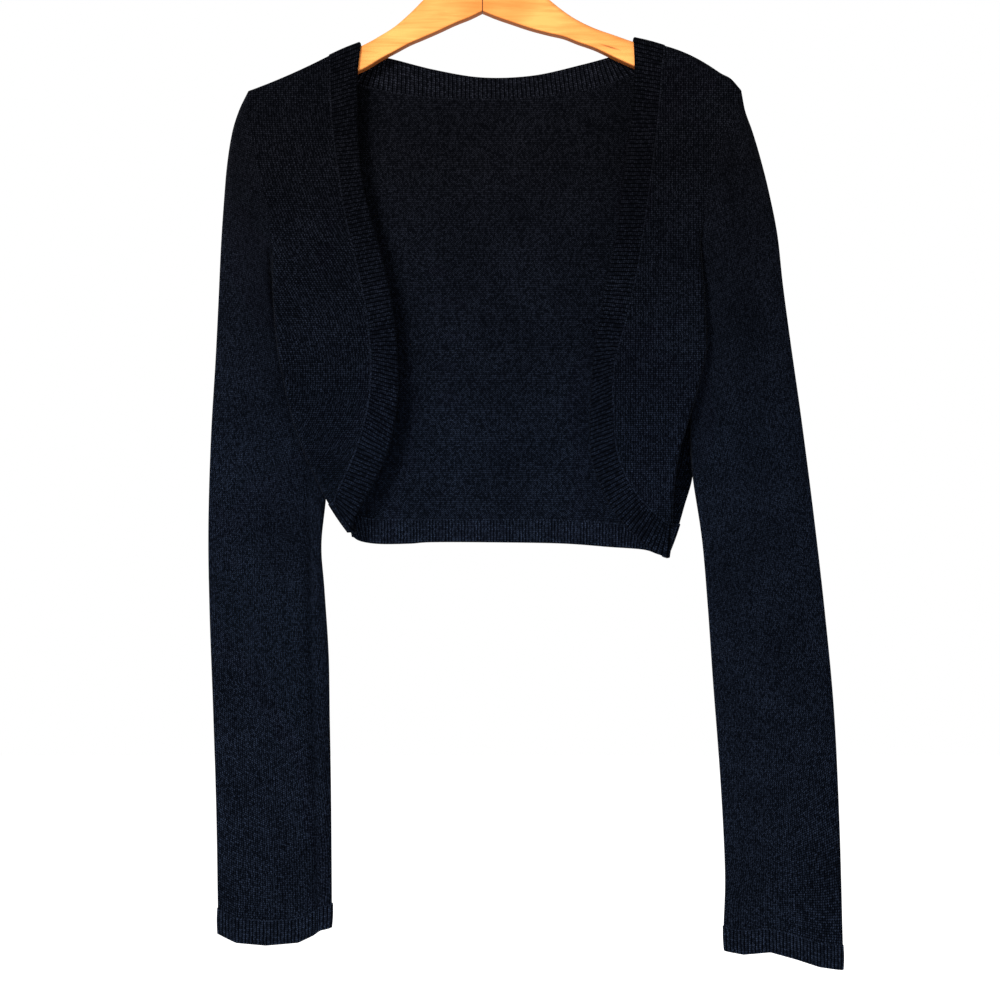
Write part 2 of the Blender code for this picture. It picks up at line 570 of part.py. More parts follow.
def arm(name, stations):
    """A wooden arm: rounded sections along the top and bottom lines, cut square where the arms meet."""
    count = len(stations)
    half = ARM_DEEP / 2
    rings = []
    for index, (x, top, bottom) in enumerate(stations):
        high = height_mm(top)
        low = height_mm(bottom)
        narrow = {count - 1: 0.55, count - 2: 0.85}.get(index, 1.0)
        wide = half * narrow
        upper = min(ARM_CORNER, wide - 0.8, (high - low) * 0.42)
        lower = min(ARM_EDGE, wide - 0.8)
        ring = []
        for angle in (0, 30, 60, 90):
            a = math.radians(angle)
            ring.append((-(wide - upper) - upper * math.sin(a), high - upper + upper * math.cos(a)))
        for angle in (0, 45, 90):
            a = math.radians(angle)
            ring.append((-(wide - lower) - lower * math.cos(a), low + lower - lower * math.sin(a)))
        ring += [(-y, z) for y, z in ring[::-1]]
        along = width_mm(x)
        if index == 0:
            along = math.copysign(SEAM_GAP / 2, along)
        rings.append([(along, y, z) for y, z in ring])
    points = np.array(rings).reshape(-1, 3)
    size = len(rings[0])
    faces = []
    for row in range(count - 1):
        for column in range(size):
            beside = (column + 1) % size
            faces.append([row * size + column, row * size + beside,
                          (row + 1) * size + beside, (row + 1) * size + column])
    faces.append(list(range(size))[::-1])
    faces.append([(count - 1) * size + column for column in range(size)])
    if width_mm(stations[-1][0]) < 0:
        faces = [face[::-1] for face in faces]
    return add_piece(name, points, faces, "wood")


def hook(name):
    """A bent wire hook: a straight shank over the arms, a sweep to the right and round over the top."""
    centre_z = WIRE - HOOK_RADIUS
    foot = height_mm(ARM_HIGHEST_Y) + SEAM_GAP
    path = [(0.0, foot), (0.0, foot + 4), (0.0, foot + 9)]
    start = math.radians(-58)
    join = np.array([HOOK_RADIUS * math.cos(start), centre_z + HOOK_RADIUS * math.sin(start)])
    tangent = np.array([-math.sin(start), math.cos(start)])
    p0 = np.array([0.0, foot + 13])
    p1 = p0 + np.array([0, 7.0])
    p2 = join - tangent * 7.0
    for share in np.linspace(0, 1, 6)[:-1]:
        point = ((1 - share) ** 3 * p0 + 3 * (1 - share) ** 2 * share * p1
                 + 3 * (1 - share) * share ** 2 * p2 + share ** 3 * join)
        path.append(tuple(point))
    for angle in np.linspace(start, math.radians(206), 20):
        path.append((HOOK_RADIUS * math.cos(angle), centre_z + HOOK_RADIUS * math.sin(angle)))
    curve = bpy.data.curves.new(name, "CURVE")
    curve.dimensions = "3D"
    curve.bevel_depth = WIRE * 0.001
    curve.bevel_resolution = 2
    curve.use_fill_caps = True
    spline = curve.splines.new("POLY")
    spline.points.add(len(path) - 1)
    for point, (x, z) in zip(spline.points, path):
        point.co = (x * 0.001, 0, z * 0.001, 1)
    curve.materials.append(material(name + "_material", "metal"))
    piece = bpy.data.objects.new(name, curve)
    bpy.context.collection.objects.link(piece)
    return piece


def hanger():
    """Two arms that meet on the middle line, and the hook over them."""
    arm("hanger_arm_right", ARM_LEFT)
    arm("hanger_arm_left", ARM_RIGHT)
    hook("hanger_hook")


def share_normals(facing, edges, front_name, column):
    """At the armhole, a sleeve's first ring and the panels' edges take the mean of their two normals."""
    for row in range(SHARED_ROWS):
        for ring_point, piece, end in ((row, front_name, -1), (-row, "back", column)):
            if row == 0 and piece == "back":
                edges[piece][row, end] = facing[0, 0]
                continue
            both = facing[0, ring_point] + edges[piece][row, end]
            both = both / np.linalg.norm(both)
            facing[0, ring_point] = both
            edges[piece][row, end] = both


def panels_and_sleeves(left, right, right_back):
    """The two fronts, the back and the two sleeves; returns their grids by name. The wearer's right is the
    viewer's left."""
    grids = {}
    edges = {}
    for name, side in (("front_right", left), ("front_left", right)):
        grid = front_grid(side)
        normal = normals(grid)
        if normal[8, 2, 1] > 0:
            normal = -normal
        grids[name] = grid
        edges[name] = flatten_middle(grid, normal)
    grids["back"], missing = back_grid(left, right_back)
    normal = normals(grids["back"])
    if normal[12, grids["back"].shape[1] // 2, 1] < 0:
        normal = -normal
    edges["back"] = flatten_middle(grids["back"], normal)
    for name, front_name, rows, sag, side, values, column in (
        ("sleeve_right", "front_right", LEFT_SLEEVE, LEFT_SAG, -1.0, left, 0),
        ("sleeve_left", "front_left", RIGHT_SLEEVE, RIGHT_SAG, 1.0, right, -1),
    ):
        tube = sleeve_grid(grids[front_name], rows, sag, side, values)
        facing = ring_normals(tube)
        share_normals(facing, edges, front_name, column)
        grids[name] = tube
        wall(name, tube, facing, CLOTH_WALL, closed=True)
    for name in ("front_right", "front_left"):
        wall(name, grids[name], edges[name], CLOTH_WALL)
    wall("back", grids["back"], edges["back"], CLOTH_WALL, missing=missing)
    return grids


def front_bands(left, right, grids):
    """Ribbed bands down the front seams and round the lower corners to the side seams."""
    for name, side, panel, corner in (
        ("front_band_right", left, grids["front_right"], LEFT_CORNER),
        ("front_band_left", right, grids["front_left"], RIGHT_CORNER),
    ):
        start = (side["free_x"][-1], side["free_y"][-1])
        turn = level(start, corner[:2], corner[2], corner[3], (side["band_deep"][-1], CORNER_DEEP), 99, 0,
                     FRONT_ACROSS, BAND_WALL / 2 + RIB_RISE)
        free = np.column_stack([width_mm(side["free_x"]), -side["band_deep"], height_mm(side["free_y"])])
        free = np.concatenate([free, turn[1:]])
        seam = np.concatenate([panel[:, 0], panel[-1, 1:]])
        turned = len(turn) + 1
        ribbed(name, *band_lines(seam, free, FRONT_BAND_GAP, (0, turned)), FRONT_PITCH, from_middle)


def neck_band(left, right):
    """The ribbed band over one arm, across the back and over the other arm."""
    ends = []
    for side in (left, right):
        over = [np.column_stack([width_mm(side[edge + "_x"]), side["band_deep"], height_mm(side[edge + "_y"])])
                for edge in ("band", "free")]
        ends.append([line[:NECK_ROW] for line in over])
    lines = []
    for index, middle in enumerate((NECK_SEAM, NECK_FREE)):
        middle = np.array([(width_mm(x), BACK_DEEP, height_mm(y)) for x, y in middle])
        lines.append(np.concatenate([ends[0][index], middle, ends[1][index][::-1]]))
    ribbed("neck_band", *band_lines(*lines, BACK_BAND_GAP), NECK_PITCH, from_middle)


def hem_band(left, right_back, seam):
    """The ribbed band along the back's lower seam, with both ends round the side folds."""
    edge_x, edge_y = np.array(HEM_EDGE).T

    def hem_edge(x, heights, part):
        """The layer follows the hem's lower edge."""
        return np.where(part < 1, np.interp(x, edge_x, edge_y), heights)

    halves = []
    for corner, end, side in ((LEFT_CORNER, HEM_EDGE[0], left), (RIGHT_CORNER, HEM_EDGE[-1], right_back)):
        knee_x = side["band_x"][KNEE_ROW]
        halves.append(mirror_depth(level(
            (knee_x, np.interp(knee_x, edge_x, edge_y)), end, corner[2], corner[3],
            (HEM_DEEP, CORNER_DEEP), 99, 0, BACK_ACROSS, BAND_WALL / 2 + RIB_RISE, bottom=hem_edge)))
    first, last = halves[0][0][0], halves[1][0][0]
    across = first + (last - first) * MIDDLE_SHARES
    deep = np.interp(MIDDLE_SHARES, [0, 0.25, 0.75, 1], [HEM_DEEP, BACK_DEEP, BACK_DEEP, HEM_DEEP])
    centre = np.column_stack([across, deep, height_mm(np.interp(across / STEP + MIDDLE_X, edge_x, edge_y))])
    free = np.concatenate([halves[0][::-1], centre, halves[1]])
    turned = TURN_CELLS + 3
    ribbed("hem_band", *band_lines(seam, free, BACK_BAND_GAP, (turned, turned)), HEM_PITCH, from_middle)


def build():
    """Everything, from the hanger to the cuffs."""
    clear_scene()
    left = table(LEFT_SIDE, SIDE_COLUMNS)
    right = table(RIGHT_SIDE, SIDE_COLUMNS)
    right_back = {key: values.copy() for key, values in right.items()}
    for row, x, y in BACK_FOLD_RIGHT:
        right_back["fold_x"][row] = x
        right_back["fold_y"][row] = y
    hanger()
    grids = panels_and_sleeves(left, right, right_back)
    front_bands(left, right, grids)
    neck_band(left, right)
    hem_band(left, right_back, grids["back"][-1])
    cuff("cuff_right", grids["sleeve_right"][-1], LEFT_CUFF, LEFT_SAG, -1.0)
    cuff("cuff_left", grids["sleeve_left"][-1], RIGHT_CUFF, RIGHT_SAG, 1.0)


build()
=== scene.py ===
"""Knitted shrug on a wooden hanger: the pieces that show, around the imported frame.

Tables are in outline steps of 0.72 mm, x to the right and y downward on the flat front view. Shapes are
worked out in millimetres with +Z up, the viewer looks along +Y, and meshes are stored in metres.
"""

import math

import bpy
import numpy as np
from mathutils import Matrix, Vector


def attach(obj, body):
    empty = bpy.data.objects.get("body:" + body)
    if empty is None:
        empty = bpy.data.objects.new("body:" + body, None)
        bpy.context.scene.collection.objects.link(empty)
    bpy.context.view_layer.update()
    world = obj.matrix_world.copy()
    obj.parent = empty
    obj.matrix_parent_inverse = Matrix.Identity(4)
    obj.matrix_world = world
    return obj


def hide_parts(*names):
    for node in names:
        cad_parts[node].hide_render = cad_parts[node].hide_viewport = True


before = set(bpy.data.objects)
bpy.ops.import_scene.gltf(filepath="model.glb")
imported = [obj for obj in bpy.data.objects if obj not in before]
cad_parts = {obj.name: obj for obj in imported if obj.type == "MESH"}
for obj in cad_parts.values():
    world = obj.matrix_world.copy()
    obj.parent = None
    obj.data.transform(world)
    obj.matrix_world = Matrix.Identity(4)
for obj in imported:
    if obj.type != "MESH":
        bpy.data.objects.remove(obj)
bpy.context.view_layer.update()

# Front panels. Plain knit in fine black yarn, shaped at the neck and linked to a ribbed band. Below the
# shoulder each one folds back in front of its sleeve, and the fold closes on the side seam behind it.
STEP = 0.72
MIDDLE_X = 482.5
ROD_Y = -145.0
KNIT_THICK = 1.5
FOLD_RADIUS = 3.0
GROOVE_END = 7.4
ROW_CELLS = 8
TURN_CELLS = 6
TURN_FINE = 36
FRONT_SHARES = np.linspace(0, 1, 41)
SHOULDER_RISE = 0.42
SHOULDER_AT = 0.87
SHOULDER_WIDE = 0.09
FOLD_SHARE = 0.42
SEAM_GAP = 0.15
SHORT_TUCK = 6.0
FOLDED_ROW = 9
LAYER_POINTS = 61
TURN_POINTS = 37
CLOSE_POINTS = 25
KEPT_POINTS = 120
METRES = 0.001
SHARP_FROM = 60
SIDE_COLUMNS = ("band_x", "band_y", "free_x", "free_y", "fold_x", "fold_y", "seam_x", "end_y", "tuck",
                "band_deep", "fold_deep", "crown")
RIGHT_BODY = [
    (331, 56.0, 360, 43.8, 248, 92.0, 329, 92.0, 0, 0.15, 0.15, -1.6),
    (331, 57.2, 360, 44.8, 248, 93.2, 329, 93.2, 0, 3.8, 3.8, -1.6),
    (331, 60.3, 360, 48.0, 247.7, 96.3, 329, 96.3, 0, 6.4, 6.4, -1.6),
    (331, 64.5, 360, 52.4, 247.5, 101, 329, 101, 0, 7.3, 7.3, -1.6),
    (331, 78, 358, 70, 248.3, 119, 329, 119, 0, 7.4, 7.4, -1),
    (332, 105, 357.2, 98, 252, 143, 329, 143, 0, 7.5, 7.8, -0.4),
    (334, 132, 357.5, 128, 257.5, 168, 329, 168, 0, 7.7, 8.4, 0),
    (338, 162, 359.5, 160, 264.5, 196, 329, 196, 0, 7.9, 9.2, 0),
    (343, 195, 364, 192, 270, 225, 329, 225, 0, 8.1, 10.3, 0),
    (348, 224, 371, 219, 273, 254, 329, 254, 3, 8.3, 11.6, 0),
    (355, 253, 379, 249, 273.5, 283, 329, 283, 7, 8.5, 12.8, 0),
    (361, 279, 385.5, 274, 275, 309, 329, 307, 12, 8.5, 14.4, 0),
    (366, 303, 390.5, 298, 276, 328, 329, 322, 16.5, 8.5, 14.4, 0),
    (369, 325, 394, 320, 278, 345, 329, 334, 26.6, 8.5, 14.4, 0),
    (371, 345, 396.5, 344, 280, 360, 329, 343, 33, 8.6, 14.4, 0),
    (372, 362, 398, 368, 283, 376, 329, 352, 99, 8.6, 14.4, 0),
    (371, 392, 397.5, 400, 289, 403, 330, 394, 99, 8.7, 14.4, 0),
    (366, 420, 392, 436, 297, 431, 331, 427, 99, 8.8, 14.4, 0),
    (358, 448, 384, 460, 306, 456, 331, 453, 99, 8.9, 14.4, 0),
    (348, 472, 374, 482, 315, 475, 331, 474, 99, 9.1, 14, 0),
    (339, 491, 362, 503, 323, 492, 332, 492, 99, 9.4, 12, 0),
    (335.5, 502, 354, 518, 330, 504, 338, 505.5, 99, 9.8, 10.5, 0),
]
LEFT_BODY = [
    (663, 46.5, 634, 39.0, 741, 91.0, 683, 91.0, 0, 0.15, 0.15, 6.5),
    (663, 47.7, 634, 40.2, 741, 92.2, 683, 92.2, 0, 3.8, 3.8, 6.5),
    (663, 50.8, 634, 43.3, 741, 95.3, 683, 95.3, 0, 6.4, 6.4, 6.5),
    (663, 55.0, 634, 47.5, 740, 100, 683, 100, 0, 7.3, 7.3, 6.5),
    (661, 72, 634.8, 68, 736, 114, 683, 114, 0, 7.4, 7.4, 4.5),
    (659, 99, 633.3, 96, 726, 131, 683, 131, 0, 7.5, 7.8, 2.5),
    (656, 130, 630.5, 130, 720, 152, 683, 152, 0, 7.7, 8.4, 1),
    (651, 170, 625.5, 170, 714, 178, 683, 178, 0, 7.9, 9.2, 0),
    (646, 208, 620.5, 208, 706, 207, 683, 207, 0, 8.1, 10.3, 0),
    (641, 242, 615.5, 242, 700.5, 235, 683, 235, 3, 8.3, 11.6, 0),
    (637, 268, 610.5, 268, 701, 260, 683, 257, 7, 8.5, 12.8, 0),
    (631, 295, 605, 293, 702.5, 285, 683, 278, 10, 8.5, 14.4, 0),
    (625.5, 320, 600, 318, 704, 310, 683, 299, 12, 8.5, 14.4, 0),
    (619, 343, 596, 343, 705.5, 333, 683, 319, 15, 8.5, 14.4, 0),
    (614, 364, 592.8, 370, 705.5, 354, 683, 337, 18, 8.6, 14.4, 0),
    (612, 388, 591, 398, 701.5, 374, 683, 354, 99, 8.6, 14.4, 0),
    (613, 420, 590, 428, 694, 402, 681, 394, 99, 8.7, 14.4, 0),
    (615.5, 448, 591.5, 458, 686, 427, 677, 423, 99, 8.8, 14.4, 0),
    (622, 470, 599, 481, 679, 450, 672.5, 449, 99, 8.9, 14, 0),
    (634, 492, 612, 508, 675, 474, 668.5, 474, 99, 9.1, 13.4, 0),
    (651, 511, 635, 535, 672.5, 500, 666.5, 500, 99, 9.4, 11.8, 0),
    (664, 522, 652, 549, 671.5, 524, 666, 524, 99, 9.8, 10.5, 0),
]


def across_mm(x):
    """X in millimetres of outline steps x: (x - MIDDLE_X) STEP."""
    return (np.asarray(x, float) - MIDDLE_X) * STEP


def height_mm(y):
    """Z in millimetres of outline steps y, measured down from the rod: -(y - ROD_Y) STEP."""
    return -(np.asarray(y, float) - ROD_Y) * STEP


def columns_of(rows):
    """The named columns of a body table as arrays."""
    values = np.array(rows, float)
    return {name: values[:, index] for index, name in enumerate(SIDE_COLUMNS)}


def smooth_rows(values, cells=ROW_CELLS, closed=False):
    """Catmull-Rom curve through the rows of an array, cells points to a row: with p0 to p3 four rows in a
    line, 0.5 (2 p1 + (p2 - p0) t + (2 p0 - 5 p1 + 4 p2 - p3) t^2 + (3 p1 - p0 - 3 p2 + p3) t^3)."""
    values = np.asarray(values, float)
    if closed:
        padded = np.concatenate([values[-1:], values, values[:2]])
    else:
        padded = np.concatenate([2 * values[:1] - values[1:2], values, 2 * values[-1:] - values[-2:-1]])
    count = len(padded) - 3
    p0, p1, p2, p3 = (padded[shift:shift + count, None] for shift in range(4))
    t = (np.arange(cells) / cells).reshape(1, cells, *[1] * (values.ndim - 1))
    fine = 0.5 * (2 * p1 + (p2 - p0) * t + (2 * p0 - 5 * p1 + 4 * p2 - p3) * t ** 2
                  + (3 * p1 - p0 - 3 * p2 + p3) * t ** 3)
    fine = fine.reshape(-1, *values.shape[1:])
    return fine if closed else np.concatenate([fine, values[-1:]])


def lengths_along(line):
    """Distance from a line's first point to each of its points."""
    return np.concatenate([[0], np.cumsum(np.linalg.norm(np.diff(line, axis=0), axis=1))])


def interpolated(spots, along, line):
    """Points at the given spots of a line whose own points stand at along."""
    return np.stack([np.interp(spots, along, column) for column in line.T], axis=1)


def resample(line, lengths):
    """Points of a line at the given lengths along it."""
    return interpolated(lengths, lengths_along(line), line)


def unit(vectors):
    """The same directions at length one."""
    return vectors / np.linalg.norm(vectors, axis=-1, keepdims=True)


def turned_toward(normal, way):
    """The same normals, all of them reversed if on the whole they point against way."""
    return normal if (normal * way).sum() >= 0 else -normal


def full_turn(count):
    """Angles of count even steps round a circle."""
    return np.linspace(0, 2 * math.pi, count + 1)[:-1]


def turn_marks(kept, arc, full):
    """Lengths of the marks from the start of a fold to its end: round the arc first, then to the seam."""
    if kept >= full - 1e-6:
        marks = [0, arc / 3, arc * 2 / 3, arc, arc + (full - arc) * 0.4, arc + (full - arc) * 0.78, full]
    elif kept > arc * 1.3:
        marks = [*np.linspace(0, arc, 4), *np.linspace(arc, kept, 4)[1:]]
    else:
        marks = np.linspace(0, max(kept, SHORT_TUCK), TURN_CELLS + 1)
    return np.interp(np.linspace(0, TURN_CELLS, TURN_FINE + 1), np.arange(TURN_CELLS + 1), marks)


def body_row(start, fold, seam_x, end_y, depths, tuck, crown, shares, inset, bottom=None):
    """One row of cloth from start out to the fold and back to the side seam, on the front.

    The layer runs straight, y = -(d0 + (d1 - d0) s^2); the fold is a half circle of FOLD_RADIUS; behind it
    the cloth closes on the middle plane along a quarter ellipse. tuck is how much of that is kept, in mm.
    The layer bows upward by 4 crown p (1 - p) with p the share of the way to the fold, and where crown is
    above zero by SHOULDER_RISE crown exp(-((p - SHOULDER_AT) / SHOULDER_WIDE)^2) more.
    """
    side = 1.0 if fold[0] > start[0] else -1.0
    begin = side * across_mm(start[0])
    outmost = side * across_mm(fold[0]) - inset
    inmost = side * across_mm(seam_x)
    radius = min(FOLD_RADIUS, FOLD_SHARE * (outmost - inmost)) if tuck else FOLD_RADIUS
    angle = min(tuck / radius, math.pi / 2)
    arc_start = outmost - radius * math.sin(angle)
    share = np.linspace(0, 1, LAYER_POINTS)
    layer_x = begin + (arc_start - begin) * share
    layer_y = -(depths[0] + (depths[1] - depths[0]) * share ** 2)
    turn = np.linspace(0, math.pi, TURN_POINTS)[1:]
    reach = min(GROOVE_END, outmost - radius - inmost)
    close = np.linspace(0, math.pi / 2, CLOSE_POINTS)
    groove = depths[1] - 2 * radius - SEAM_GAP
    turned_x = [layer_x[-1:], arc_start + radius * np.sin(turn), inmost + reach * (1 - np.sin(close))]
    turned_y = [layer_y[-1:], -depths[1] + radius * (1 - np.cos(turn)), -SEAM_GAP - groove * np.cos(close)]
    turned = np.column_stack([np.concatenate(turned_x), np.concatenate(turned_y)])
    full = lengths_along(turned)[-1]
    kept = min(tuck, full)
    turned = resample(turned, np.linspace(0, kept, KEPT_POINTS) if kept > 0 else np.zeros(1))
    flat = np.concatenate([np.column_stack([layer_x, layer_y]), turned[1:]])
    along = lengths_along(flat)
    layer_end = along[len(layer_x) - 1]
    heights = np.interp(along, [0, layer_end, layer_end + max(kept, 1e-6)], [start[1], fold[1], end_y])
    part = np.clip(along / max(layer_end, 1e-6), 0, 1)
    heights = heights - crown * 4 * part * (1 - part)
    shoulder = np.exp(-((part - SHOULDER_AT) / SHOULDER_WIDE) ** 2)
    heights = heights - max(crown, 0) * SHOULDER_RISE * shoulder * (part < 1)
    if bottom is not None:
        heights = bottom(side * flat[:, 0] / STEP + MIDDLE_X, heights, part)
    path = np.column_stack([side * flat[:, 0], flat[:, 1], height_mm(heights)])
    marks = turn_marks(kept, math.pi * radius, full)
    scale = lengths_along(path[len(layer_x) - 1:])[-1] / kept if kept > SHORT_TUCK else 1.0
    first = lengths_along(path)[-1] - marks[-1] * scale
    return resample(path, np.concatenate([np.asarray(shares) * first, first + marks[1:] * scale]))


def creased(points, creases):
    """Moves cloth toward the viewer by the sum of its creases, each rise exp(-(d / width)^2) with d the
    distance from its line, and a cosine fade over the last third at both ends. Behind the middle plane the
    cloth moves away from the viewer instead."""
    x = points[..., 0] / STEP + MIDDLE_X
    y = -points[..., 2] / STEP + ROD_Y
    push = np.zeros(x.shape)
    for x0, y0, x1, y1, width, rise in creases:
        run = np.array([x1 - x0, y1 - y0], float)
        length = np.hypot(*run)
        run /= length
        along = ((x - x0) * run[0] + (y - y0) * run[1]) / length
        away = (x - x0) * run[1] - (y - y0) * run[0]
        ends = np.clip(np.minimum(along, 1 - along) * 3, 0, 1)
        push += rise * np.exp(-(away / width) ** 2) * (0.5 - 0.5 * np.cos(math.pi * ends))
    moved = points.copy()
    moved[..., 1] -= push * np.where(points[..., 1] > 0, -1.0, 1.0)
    return moved


def grid_normals(grid, closed=False):
    """Unit normals: the step across each row times the step down each column."""
    across = np.roll(grid, -1, 1) - np.roll(grid, 1, 1) if closed else np.gradient(grid, axis=1)
    normal = np.cross(across, np.gradient(grid, axis=0))
    return normal / np.maximum(np.linalg.norm(normal, axis=2, keepdims=True), 1e-9)


def placed(name, data):
    """A new object of the scene that shows data."""
    thing = bpy.data.objects.new(name, data)
    bpy.context.collection.objects.link(thing)
    return thing


def cloth_mesh(name, points, faces, stitches, materials, inner=None):
    """A smooth piece from points in mm, faces and stitch coordinates in mm, riding on the body. inner
    marks the faces that show the knit's reverse. The faces are turned so that they enclose a volume above
    zero, by the sum of middle times area over all of them."""
    points = points.reshape(-1, 3)
    corners = points[faces]
    areas = np.cross(corners[:, 2] - corners[:, 0], corners[:, 3] - corners[:, 1])
    if (corners.mean(axis=1) * areas).sum() < 0:
        faces = faces[:, ::-1]
    used, faces = np.unique(faces, return_inverse=True)
    faces = faces.reshape(-1, 4)
    mesh = bpy.data.meshes.new(name)
    mesh.from_pydata(points[used] * METRES, [], faces.tolist())
    layer = mesh.uv_layers.new(name="stitches")
    corners = np.empty(len(mesh.loops), dtype=np.int32)
    mesh.loops.foreach_get("vertex_index", corners)
    layer.data.foreach_set("uv", stitches.reshape(-1, 2)[used][corners].astype(np.float32).ravel())
    for material in materials:
        mesh.materials.append(material)
    if inner is not None:
        mesh.polygons.foreach_set("material_index", inner.astype(np.int32))
    mesh.shade_smooth()
    mesh.set_sharp_from_angle(angle=math.radians(SHARP_FROM))
    piece = placed(name, mesh)
    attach(piece, "root")
    return piece


def quads(number):
    """The four corners of every cell in a grid of point numbers."""
    return np.stack([number[:-1, :-1], number[:-1, 1:], number[1:, 1:], number[1:, :-1]], axis=2)


def shell(name, grid, normal, stitches, materials, closed=False, missing=None):
    """A closed wall of plain knit: outer and inner points KNIT_THICK / 2 from the grid along its normals,
    and a rim along every free edge. missing marks cells left out."""
    rows, columns = grid.shape[:2]
    cells = np.ones((rows - 1, columns if closed else columns - 1), bool)
    if missing is not None:
        cells &= ~missing
    number = np.arange(rows * columns).reshape(rows, columns)
    if closed:
        number = np.concatenate([number, number[:, :1]], axis=1)
    shift = rows * columns
    outer = quads(number)[cells]
    parts = [outer, outer[:, ::-1] + shift]
    level = np.zeros((rows + 1, cells.shape[1]), bool)
    level[1:-1] = cells
    first, second = level[1:] & ~level[:-1], ~level[1:] & level[:-1]
    edges = [np.stack([number[:, :-1][first], number[:, 1:][first]], 1),
             np.stack([number[:, 1:][second], number[:, :-1][second]], 1)]
    if not closed:
        upright = np.zeros((rows - 1, columns + 1), bool)
        upright[:, 1:-1] = cells
        first, second = upright[:, 1:] & ~upright[:, :-1], ~upright[:, 1:] & upright[:, :-1]
        edges += [np.stack([number[1:][first], number[:-1][first]], 1),
                  np.stack([number[:-1][second], number[1:][second]], 1)]
    rim = np.concatenate(edges)
    parts.append(np.column_stack([rim[:, 1], rim[:, 0], rim[:, 0] + shift, rim[:, 1] + shift]))
    faces = np.concatenate(parts)
    inner = np.concatenate([np.zeros(len(outer)), np.ones(len(outer)), np.zeros(len(rim))])
    out = normal * KNIT_THICK / 2
    points = np.concatenate([grid + out, grid - out])
    stitches = np.concatenate([stitches, stitches])
    return cloth_mesh(name, points, faces, stitches, materials, inner)


def flat_normals(grid, normal):
    """Normals of edges that meet the other half on the middle plane stand in that plane."""
    near = np.abs(grid[:, :, 1]) < 0.2
    normal = normal.copy()
    normal[near, 1] = 0
    return unit(normal)


BAR_WAVE = 0.22
LEG_SLOPE = 1.3
STITCH_POWER = 1.7
CREST_POWER = 1.4
FLUFF_SCALE = 1900.0
MOTTLE_SCALE = 24.0
# Painted light: between these two heights in metres the yarn colour turns paler and bluer lower down, a
# painted lighting gradient on one yarn.
PAINTED_LIGHT_FROM = -0.22
PAINTED_LIGHT_TO = -0.42
YARN_PAINTED_LIGHT_ABOVE = (0.92, 1.0, 1.42)
YARN_PAINTED_LIGHT_BELOW = (1.05, 1.5, 2.7)
# Colour of the knit where its tone is nothing: the dark gaps between the yarns, and painted shade in the
# stitch and rib valleys.
GAP_AND_SHADE_COLOUR = (0.0004, 0.0005, 0.0008, 1.0)
WALE = 1.8
COURSE = 1.4
YARN_SHADE = 0.0060


def new_material(name):
    """A material, its links, its shader and a function that adds a node with its inputs set or linked."""
    material = bpy.data.materials.new(name)
    material.use_nodes = True
    tree = material.node_tree

    def add(kind, values=(), **settings):
        node = tree.nodes.new("ShaderNode" + kind)
        for key, value in settings.items():
            setattr(node, key, value)
        for key, value in dict(values).items():
            if isinstance(value, bpy.types.NodeSocket):
                tree.links.new(value, node.inputs[key])
            else:
                node.inputs[key].default_value = value
        return node
    return material, tree.links, tree.nodes["Principled BSDF"], add


